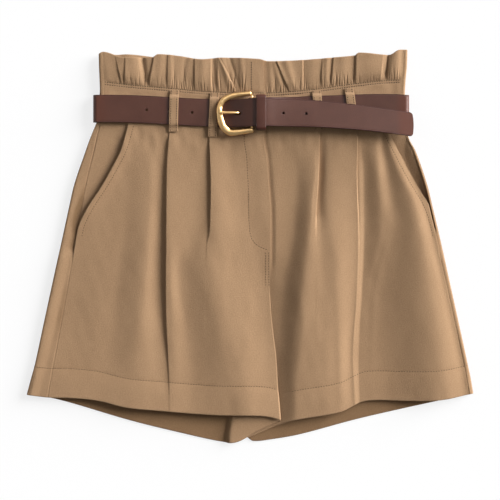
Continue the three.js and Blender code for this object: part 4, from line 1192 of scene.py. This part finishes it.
def belt_loop(name, node, path, top_x, bottom_x, outward=1):
    s, middle = smooth_path(path, 46)
    part = np.linspace(-1, 1, 9)
    centre = mix(top_x, bottom_x, s / s[-1])
    x = centre[:, None] + part * LOOP_WIDTH / 2
    y = np.repeat(middle[:, :1], len(part), 1)
    ridge = 0.12 * bell(np.abs(part) - 0.86, 0.16) + 0.1 * (1 - part ** 2)
    z = middle[:, 1:] + outward * ridge
    points = np.stack([x, y, z], -1)
    flat = np.stack([x, s[:, None] * -1 + 0 * x], -1)
    piece = put(name, grid_mesh(name, points, flat, outward=outward > 0), TWILL_CLOTH, [node])
    walled(piece, 0.9, 0.3, 3)
    seams = []
    for side in (-1, 1):
        seam_x = centre + side * (LOOP_WIDTH / 2 - 1.7)
        seams.append(in_place(np.stack([seam_x, middle[:, 0], middle[:, 1] + outward * 0.55], -1)))
    return piece, seams


# Stitches ----------------------------------------------------------------------------------------
class Thread:
    """Rows of stitches, gathered into one piece."""

    def __init__(self):
        self.bm = bmesh.new()

    def row(self, line, normals_at, pitch=2.9, length=2.1, width=0.7, height=0.26):
        """Stitches along a line of points in metres, with a normal for each point."""
        line = np.asarray(line, float)
        s = lengths(line)
        count = int(s[-1] / (pitch * MM))
        for i in range(count):
            middle = (i + 0.5) * pitch * MM
            ends = [np.array([np.interp(middle + half * length * MM / 2, s, line[:, k]) for k in range(3)])
                    for half in (-1, 1)]
            up = np.array([np.interp(middle, s, normals_at[:, k]) for k in range(3)])
            self.stitch(Vector(ends[0]), Vector(ends[1]), Vector(up), width * MM, height * MM)

    def stitch(self, start, end, up, width, height):
        run = end - start
        side = up.cross(run).normalized()
        up = run.cross(side).normalized()
        frame_of = Matrix((run.normalized(), side, up)).transposed().to_4x4()
        frame_of.translation = (start + end) / 2
        size = Matrix.Diagonal((run.length / 2, width / 2, height / 2, 1))
        bmesh.ops.create_uvsphere(self.bm, u_segments=6, v_segments=4, radius=1,
                                  matrix=frame_of @ size @ Matrix.Rotation(math.pi / 2, 4, "Y"))

    def piece(self, name, finish):
        return put(name, as_mesh(name, self.bm), finish)


def surface_row(surface, places, lift):
    """A line on a surface with its normals: surface(x, y) gives points, lift goes from there to its face."""
    places = np.asarray(places, float)
    s = lengths(places)
    at = np.linspace(0, s[-1], max(12, int(s[-1] / 1.2)))
    x, y = np.interp(at, s, places[:, 0]), np.interp(at, s, places[:, 1])
    points = surface(x, y)
    normal = np.cross(surface(x + 0.3, y) - points, surface(x, y + 0.3) - points)
    normal *= np.sign(normal[:, 2:])
    normal /= np.linalg.norm(normal, axis=1, keepdims=True)
    return in_place(points + normal * lift), normal


def front_face(leg):
    def surface(x, y):
        above = y - along(HEMS[leg + "_front"], "x", "y", x)
        raised = (HEM_RAISE + TURN) * turned(above) + cloth_drift(x, y) - groove(leg, x, y)
        return front_surface(leg, x, y, raised)
    return surface


def frill_face(leg):
    def surface(x, y):
        top = along(FRILL_TOP, "x", "y", x)
        return np.stack([x, y, frill_height(leg, x, y, top, 1, 1) + TURN], -1)
    return surface


# Belt ---------------------------------------------------------------------------------------------
BAR_X, BAR_Z, BAR_RADIUS = 2.4, 14.7, 1.5
WRAP = BAR_RADIUS + SEAM + BELT_THICK / 2
EYE_RADIUS = BAR_RADIUS + SEAM + 1.4
TURN_RADIUS = (FRONT_BELT_Z - BACK_BELT_Z) / 2
TURN_Z = (FRONT_BELT_Z + BACK_BELT_Z) / 2
RIGHT_TURN_X, LEFT_TURN_X = -167.6, 170.6
HOLES_ASIDE = -0.6        # how far the line of holes is from the strap's middle line
HOLE_CUT, HOLE_HALF = (1.5, 1.5), (1.45, 1.45)    # half of what is cut away, and of the round hole then made
SLOT_CUT, SLOT_HALF = (3.75, 2.25), (3.7, 2.1)    # the same for the hole that the prong has drawn out
TIP_CORNER = 3.5          # how far in from its side the strap's end is rounded
UNDER_STRAP = [
    (10, 147.4, 17.7), (18, 148, 17.4), (28, 148.3, 14.8), (38, 148.7, 11.7), (50, 149.2, 10.1),
    (66, 150.1, 10), (95, 151, 10), (130, 152.2, 10), (158, 152.3, 10),
]
TAIL_STRAP = [
    # x, y, z, roll
    (-155, 151.5, 10, 0), (-125, 151, 10, 0), (-89, 149.1, 10, 0), (-60, 147.4, 10, 0),
    (-34, 146.4, 10, 0), (-27, 146.2, 10.7, 0), (-20, 146.1, 12.6, 0), (-12, 146, 15.8, 0),
    (-5, 146, 18.4, 0), (2, 146.2, 20.1, 0), (10, 146.4, 20.5, 0), (18, 146.6, 20.2, 0),
    (29, 146.4, 18.4, -2), (42, 146.1, 17, -4), (56, 145.8, 16.5, -6), (74, 145, 16.5, -8),
    (96, 143.3, 16.6, -8), (120, 141, 16.6, -8), (145, 138, 16.2, -8), (165, 135.2, 15.8, -8),
    (178, 133.3, 15.4, -8),
]


def strap_line():
    """Stations of the strap's middle line: x, y, z, roll, half width; and how many come before the tail."""
    stations = [(BAR_X + 7, 147.2, BAR_Z - WRAP, 0, BELT_HALF)]

    def arc(x, z, radius, y, start, end, steps):
        for i in range(steps + 1):
            angle = math.radians(mix(start, end, i / steps))
            stations.append((x + radius * math.cos(angle), y, z + radius * math.sin(angle), 0, BELT_HALF))

    arc(BAR_X, BAR_Z, WRAP, 147.2, 270, 90, 12)
    wrapped = len(stations)
    stations.extend((x, y, z, 0, BELT_HALF) for x, y, z in UNDER_STRAP)
    arc(LEFT_TURN_X, TURN_Z, TURN_RADIUS, BELT_Y, 90, -90, 12)
    stations.extend((x, BELT_Y, BACK_BELT_Z, 0, BELT_HALF) for x in (110, 40, -40, -110))
    arc(RIGHT_TURN_X, TURN_Z, TURN_RADIUS, BELT_Y, 270, 90, 12)
    tail = len(stations)
    for x, y, z, roll in TAIL_STRAP:
        stations.append((x, y, z, roll, mix(BELT_HALF, TIP_HALF, ease(x, 50, 165))))
    return np.array(stations, float), wrapped, tail


def belt_strap():
    stations, wrapped, tail = strap_line()
    s = lengths(stations[:, :3])
    rows = {"s": s, **dict(zip("xyzrh", stations.T))}
    holes = []
    fine = []
    for i in range(HOLE_COUNT):
        x = FIRST_HOLE_X + HOLE_PITCH * i
        prong = abs(x - PRONG_HOLE_X) < HOLE_PITCH / 2
        x = PRONG_HOLE_X if prong else x
        at = float(np.interp(x, stations[tail:, 0], s[tail:]))
        holes.append((at, *(SLOT_CUT if prong else HOLE_CUT)))
        fine.extend(at + 0.75 * k for k in range(-7, 8))
    bend = wrapped + len(UNDER_STRAP)
    turns = [(s[0], s[wrapped]), (s[bend] - 6, s[bend + 12] + 6), (s[tail - 13] - 6, s[tail] + 6)]
    for start, end in turns:
        fine.extend(np.arange(start, end, 0.7))
    fine = np.array(sorted(fine))
    base = [at for at in np.arange(0, s[-1] + 1, 2.4) if np.abs(fine - at).min() > 1.0]
    at = np.array(sorted([*base, *fine[np.concatenate([[True], np.diff(fine) > 0.3])]]))
    at = at[at <= s[-1] - 0.3]
    at = np.append(at, s[-1])
    inner = [HOLES_ASIDE + 0.75 * k for k in range(-5, 6)]
    rim = [12.2, 13.6, 14.4, BELT_HALF]
    across = np.array([*[-v for v in reversed([6.2, 8.2, 10.2, *rim])], *inner, 5, 7.5, 10, *rim])

    s_grid = np.repeat(at[:, None], len(across), 1)
    v_grid = np.repeat(across[None], len(at), 0)
    length = s[-1]
    rounded = np.clip((np.abs(across) - BELT_HALF + TIP_CORNER) / TIP_CORNER, 0, 1)
    tip = 1.3 * (1 - (across / BELT_HALF) ** 2) - 3.2 * (1 - np.sqrt(1 - 0.98 * rounded ** 2))
    s_grid = s_grid + tip * ease(s_grid, length - 9, length)

    def place(s_at, v_at):
        part = {key: along(rows, "s", key, s_at) for key in "xyzrh"}
        beyond = np.maximum(s_at - length, 0)
        lean = np.radians(part["r"])
        reach = v_at / BELT_HALF * part["h"]
        y = part["y"] + reach * np.cos(lean)
        return np.stack([part["x"] + beyond, y, part["z"] + reach * np.sin(lean)], -1)

    bm = bmesh.new()
    layer = bm.loops.layers.uv.new("cut")
    spot = {vert: [s_grid[corner], v_grid[corner]]
            for vert, corner in grid_of(bm, len(at), len(across)).items()}
    for face in list(bm.faces):
        middle = [sum(spot[v][k] for v in face.verts) / 4 for k in (0, 1)]
        holed = any(abs(middle[0] - h) < a and abs(middle[1] - HOLES_ASIDE) < b for h, a, b in holes)
        point = place(np.array([middle[0]]), np.array([middle[1]]))[0]
        round_eye = point[0] < BAR_X + EYE_RADIUS + 0.6 and abs(point[1] - PRONG_Y) < 3.2
        slotted = middle[0] < s[wrapped] + 8 and round_eye
        if holed or slotted:
            bm.faces.remove(face)
    for vert in [v for v in bm.verts if not v.link_faces]:
        del spot[vert]
        bm.verts.remove(vert)
    for h, a, b in holes:
        for vert, (vs, vv) in spot.items():
            ds, dv = vs - h, vv - HOLES_ASIDE
            if vert.is_boundary and abs(ds) < a + 0.4 and abs(dv) < b + 0.4:
                wide, high = SLOT_HALF if a > 2 else HOLE_HALF
                reach = math.hypot(ds / wide, dv / high)
                spot[vert] = [h + ds / reach, HOLES_ASIDE + dv / reach]
    verts = list(spot)
    places = np.array([spot[v] for v in verts])
    points = place(places[:, 0], places[:, 1])
    for vert, point in zip(verts, in_place(points)):
        vert.co = point
    lay_cut(bm, layer, spot)
    bmesh.ops.reverse_faces(bm, faces=bm.faces[:])
    piece = put("leather_belt", as_mesh("leather_belt", bm), BELT_LEATHER, ["belt_strap"])
    return walled(piece, STRAP, 0.55, 3, 40)


def belt_keeper():
    low, high, floor, roof, corner = 127.9, 164.7, 15.2, 23.2, 1.9
    ring = []
    for cy, cz, start in ((high - corner, floor + corner, -90), (high - corner, roof - corner, 0),
                          (low + corner, roof - corner, 90), (low + corner, floor + corner, 180)):
        ring += [(cy + corner * math.cos(math.radians(a)), cz + corner * math.sin(math.radians(a)))
                 for a in np.linspace(start, start + 90, 8)]
    ring.append(ring[0])
    ring = np.array(ring)
    s = lengths(ring)
    at = np.linspace(0, s[-1], 97)
    y, z = np.interp(at, s, ring[:, 0]), np.interp(at, s, ring[:, 1])
    part = np.linspace(-1, 1, 9)
    width = 10.7
    x = KEEPER_X + 5.5 + part * width / 2
    crown = 0.35 * (1 - part ** 2)
    middle_y, middle_z = (low + high) / 2, (floor + roof) / 2
    out = np.stack([y - middle_y, (z - middle_z) * 4], -1)
    out /= np.linalg.norm(out, axis=1, keepdims=True)
    points = np.stack(np.broadcast_arrays(
        x[None], y[:, None] + out[:, :1] * crown, z[:, None] + out[:, 1:] * crown), -1)
    flat = np.stack([np.repeat(at[:, None], len(part), 1), np.repeat(part[None] * BELT_HALF, len(at), 0)], -1)
    mesh = grid_mesh("belt_keeper_band", points, flat, closed=True)
    piece = put("belt_keeper_band", mesh, KEEPER_LEATHER, ["belt_keeper"])
    return walled(piece, 1.7, 0.5, 3, 40)


def sweep(bm, path, wide, high, rings, sides, seed=None, unevenness=0.0):
    """A closed rod round a smooth line: widths and heights are given at the line's own points."""
    path = np.asarray(path, float)
    s, line = smooth_path(path, 400)
    knots = lengths(path)
    made = bmesh.ops.create_uvsphere(bm, u_segments=sides, v_segments=rings, radius=1)
    uneven = ripples(seed, 9, 1, 12) if seed else None
    for vert in made["verts"]:
        polar = math.acos(max(-1, min(1, vert.co.z)))
        around = math.atan2(vert.co.y, vert.co.x)
        t = polar / math.pi
        cap = 0.09
        ends = (np.interp(0, knots, wide) / 2, np.interp(knots[-1], knots, wide) / 2)
        if t < cap:
            angle = t / cap * math.pi / 2
            at, close = ends[0] * (1 - math.cos(angle)), math.sin(angle)
        elif t > 1 - cap:
            angle = (1 - t) / cap * math.pi / 2
            at, close = s[-1] - ends[1] * (1 - math.cos(angle)), math.sin(angle)
        else:
            at, close = mix(ends[0], s[-1] - ends[1], (t - cap) / (1 - 2 * cap)), 1.0
        middle = np.array([np.interp(at, s, line[:, k]) for k in range(3)])
        ahead = np.array([np.interp(min(at + 0.5, s[-1]), s, line[:, k]) for k in range(3)])
        behind = np.array([np.interp(max(at - 0.5, 0), s, line[:, k]) for k in range(3)])
        run = Vector(ahead - behind).normalized()
        side = Vector((0, 0, 1)).cross(run).normalized()
        up = run.cross(side)
        rough = 1 + (unevenness * float(uneven(at, around * 5)) if uneven else 0)
        a = np.interp(at, knots, wide) / 2 * close * rough
        b = np.interp(at, knots, high) / 2 * close * rough
        point = Vector(middle) + side * (a * math.cos(around)) + up * (b * math.sin(around))
        vert.co = Vector(in_place(point))


BUCKLE_PATH = [
    # x, y, z, width
    (4.9, 127.6, 14.7, 5.3), (-6.9, 126.0, 14.7, 6.2), (-19.2, 124.6, 14.6, 6.6), (-24.6, 126.4, 14.8, 7.2),
    (-29.2, 131.6, 15.0, 7.8), (-32.2, 140.4, 15.2, 7.2), (-33.2, 149, 15.2, 6.8), (-32.2, 155, 15.1, 6.4),
    (-28.2, 160.6, 14.9, 6.2), (-19.2, 165.0, 14.6, 5.6), (-8, 166.6, 14.7, 5.1), (2.1, 167.8, 14.7, 4.7),
]


def mesh_piece(name, bm, finish, nodes):
    bmesh.ops.recalc_face_normals(bm, faces=bm.faces[:])
    return put(name, as_mesh(name, bm), finish, nodes)


def buckle():
    bm = bmesh.new()
    widths = [row[3] for row in BUCKLE_PATH]
    sweep(bm, [row[:3] for row in BUCKLE_PATH], widths, [4.6] * len(widths), 150, 26, 21, 0.05)
    bar = [(BAR_X, bar_y, BAR_Z) for bar_y in (128.6, 147.2, 165.8)]
    sweep(bm, bar, [2.9] * 3, [2.9] * 3, 24, 14)
    return mesh_piece("buckle_frame_and_bar", bm, GILT_BRASS, ["buckle_frame"])


def prong():
    bm = bmesh.new()
    y = PRONG_Y
    rows = [
        # x, z, width, height
        (0, 12.2, 2.4, 2.2), (-5, 12.5, 2.6, 2.2), (-9.4, 13.6, 2.6, 2.2), (-13.4, 16.6, 2.7, 2.3),
        (-18, 17.9, 2.8, 2.2), (-25, 18.9, 2.8, 2.1), (-33.8, 19.4, 2.5, 1.9),
    ]
    sweep(bm, [(x, y, z) for x, z, *_ in rows], [row[2] for row in rows], [row[3] for row in rows],
          60, 16, 33, 0.03)
    ring = bmesh.ops.create_grid(bm, x_segments=24, y_segments=10, size=0.5)["verts"]
    for vert in ring:
        around = (vert.co.x + 0.5) * 2 * math.pi
        section = (vert.co.y + 0.5) * 2 * math.pi
        radius = EYE_RADIUS - 0.7 + 0.65 * math.cos(section)
        vert.co = Vector(in_place((BAR_X + radius * math.cos(around), y + 1.8 * math.sin(section),
                                   BAR_Z + radius * math.sin(around))))
    bmesh.ops.remove_doubles(bm, verts=ring, dist=1e-7)
    return mesh_piece("buckle_prong_and_eye", bm, GILT_BRASS, ["buckle_prong"])


# Making ------------------------------------------------------------------------------------------
FACE = CLOTH / 2 + 0.1
FRILL_STITCH = {"pitch": 2.6, "length": 1.75, "width": 1.15, "height": 0.3}
LOOP_STITCH = {"pitch": 2.6, "length": 1.7, "width": 1.0, "height": 0.28}


def front_stitching(leg):
    """The hem's row, the pocket mouth's row, and on the right leg the fly's rows and bar tack."""
    surface = front_face(leg)
    thread = Thread()
    thread.row(*surface_row(surface, hem_line(leg), FACE))
    thread.row(*surface_row(surface, pocket_line(leg, 6.2), FACE))
    if leg == "right":
        thread.row(*surface_row(surface, FLY_LINE, FACE), width=0.9)
        for x in (17.2, 20.6):
            thread.row(*surface_row(surface, [(x, -6), (x + 0.6, -44)], FACE))
    return thread.piece(leg + "_front_stitching", THREAD)


def frill_stitching(leg):
    """Twin rows along the frill's seam, and on the right one the row beside the placket."""
    surface = frill_face(leg)
    thread = Thread()
    xs = np.linspace(*((-160, 16) if leg == "right" else (18, 166)), 120)
    seam = along(FRILL_SEAM, "x", "y", xs)
    for drop in (0, 2.7):
        thread.row(*surface_row(surface, list(zip(xs, seam - drop)), FACE), **FRILL_STITCH)
    if leg == "right":
        thread.row(*surface_row(surface, [(1.8, 203), (1.8, 171)], FACE), **FRILL_STITCH)
    return thread.piece(leg + "_frill_stitching", TOP_THREAD)


# The back panels and back frill, then each leg's front, pocket facing, frill and their stitching
backs = {leg: back_panel(leg) for leg in ("right", "left")}
back_waist = back_frill()
fronts = {}
frills = {}
for leg in ("right", "left"):
    fronts[leg] = front_panel(leg)
    facing = hip_facing(leg)
    frills[leg] = front_frill(leg)
    for piece, cut, held, under, extras in (
            (backs[leg], "back", "laid", [], []),
            (fronts[leg], "front", "laid", [backs[leg].name], [front_stitching(leg)]),
            (facing, "facing", "laid", [backs[leg].name], []),
            (frills[leg], "frill", "gathered", ["leather_belt"], [frill_stitching(leg)])):
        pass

for i, (top_x, bottom_x, top_y, bottom_y, belt_y, bottom_z) in enumerate([
    (-82.9, -84, 172, 126, 148.8, 10), (-38.6, -41, 169, 120.4, 146.6, 10.8),
    (73.4, 76, 171, 127.6, 150.3, 9.9), (108.8, 114.8, 174, 131, 151.4, 9.4),
], 1):
    loop, seams = belt_loop(f"front_loop_{i}", f"front_belt_loop_{i}",
                            front_loop_path(top_y, bottom_y, belt_y, bottom_z), top_x, bottom_x)
    thread = Thread()
    for seam in seams:
        thread.row(seam, np.array([(0, 0, 1)] * len(seam), float), **LOOP_STITCH)
    thread.piece(f"front_loop_{i}_stitching", TOP_THREAD)
for i, x in enumerate((-95, 3, 101), 1):
    loop, _ = belt_loop(f"back_loop_{i}", f"back_belt_loop_{i}", back_loop_path(), x, x, -1)

belt_strap()
belt_keeper()
buckle()
prong()

# The surface, the light and the camera
FLOOR_SIZE = 8
FLOOR_GREY = (0.18, 0.18, 0.18, 1)
FLOOR_GLOW = 0.775
WHITE = (1, 1, 1, 1)
WORLD_POWER = 0.24
bpy.ops.mesh.primitive_plane_add(size=FLOOR_SIZE, location=(0, 0, 0))
floor = bpy.context.object
floor.name = "pale_floor"
floor_finish = Finish("pale floor", Roughness=0.9, Specular_IOR_Level=0.1)
floor_finish.shader.inputs["Base Color"].default_value = FLOOR_GREY
floor_finish.shader.inputs["Emission Color"].default_value = WHITE
floor_finish.shader.inputs["Emission Strength"].default_value = FLOOR_GLOW
floor.data.materials.append(floor_finish.material)

world = bpy.data.worlds.new("soft studio")
world.use_nodes = True
background = world.node_tree.nodes["Background"]
background.inputs["Color"].default_value = WHITE
background.inputs["Strength"].default_value = WORLD_POWER
bpy.context.scene.world = world


def hang(name, light, towards, power):
    """A light of the studio, turned so that it shines from towards to the part."""
    light.energy = power
    lamp = bpy.data.objects.new(name, light)
    lamp.rotation_euler = Vector(towards).to_track_quat("Z", "Y").to_euler()
    bpy.context.collection.objects.link(lamp)
    return lamp


def studio_sun(name, towards, power, spread):
    light = bpy.data.lights.new(name, "SUN")
    light.angle = math.radians(spread)
    hang(name, light, towards, power)


def gloss_panel(name, place, size, power):
    """A panel that only shows as gloss on the leather and the brass."""
    light = bpy.data.lights.new(name, "AREA")
    light.shape = "RECTANGLE"
    light.size, light.size_y = size
    panel = hang(name, light, place, power)
    panel.location = place
    panel.visible_diffuse = False
    panel.visible_camera = False


studio_sun("side soft box", (0.88, 0.43, 0.315), 9.5, 40)
studio_sun("far side reflector", (-0.85, 0.25, 0.35), 0.45, 60)
gloss_panel("overhead panel", (0.3, 1.5, 2.0), (2.4, 1.6), 16)
gloss_panel("small panel over the left hip", (0.3, 0.36, 1.9), (0.3, 0.5), 0.9)

CAMERA_LENS = 100
CAMERA_SENSOR = 36
VIEW_WIDTH = 0.55
VIEW_Y, VIEW_Z = -0.0038, 0.008
camera_data = bpy.data.cameras.new("camera")
camera_data.lens = CAMERA_LENS
camera_data.sensor_width = CAMERA_SENSOR
camera = bpy.data.objects.new("camera", camera_data)
camera.location = (0, VIEW_Y, VIEW_Z + VIEW_WIDTH * CAMERA_LENS / CAMERA_SENSOR)
bpy.context.collection.objects.link(camera)
bpy.context.scene.camera = camera
bpy.context.scene.view_settings.view_transform = "Standard"
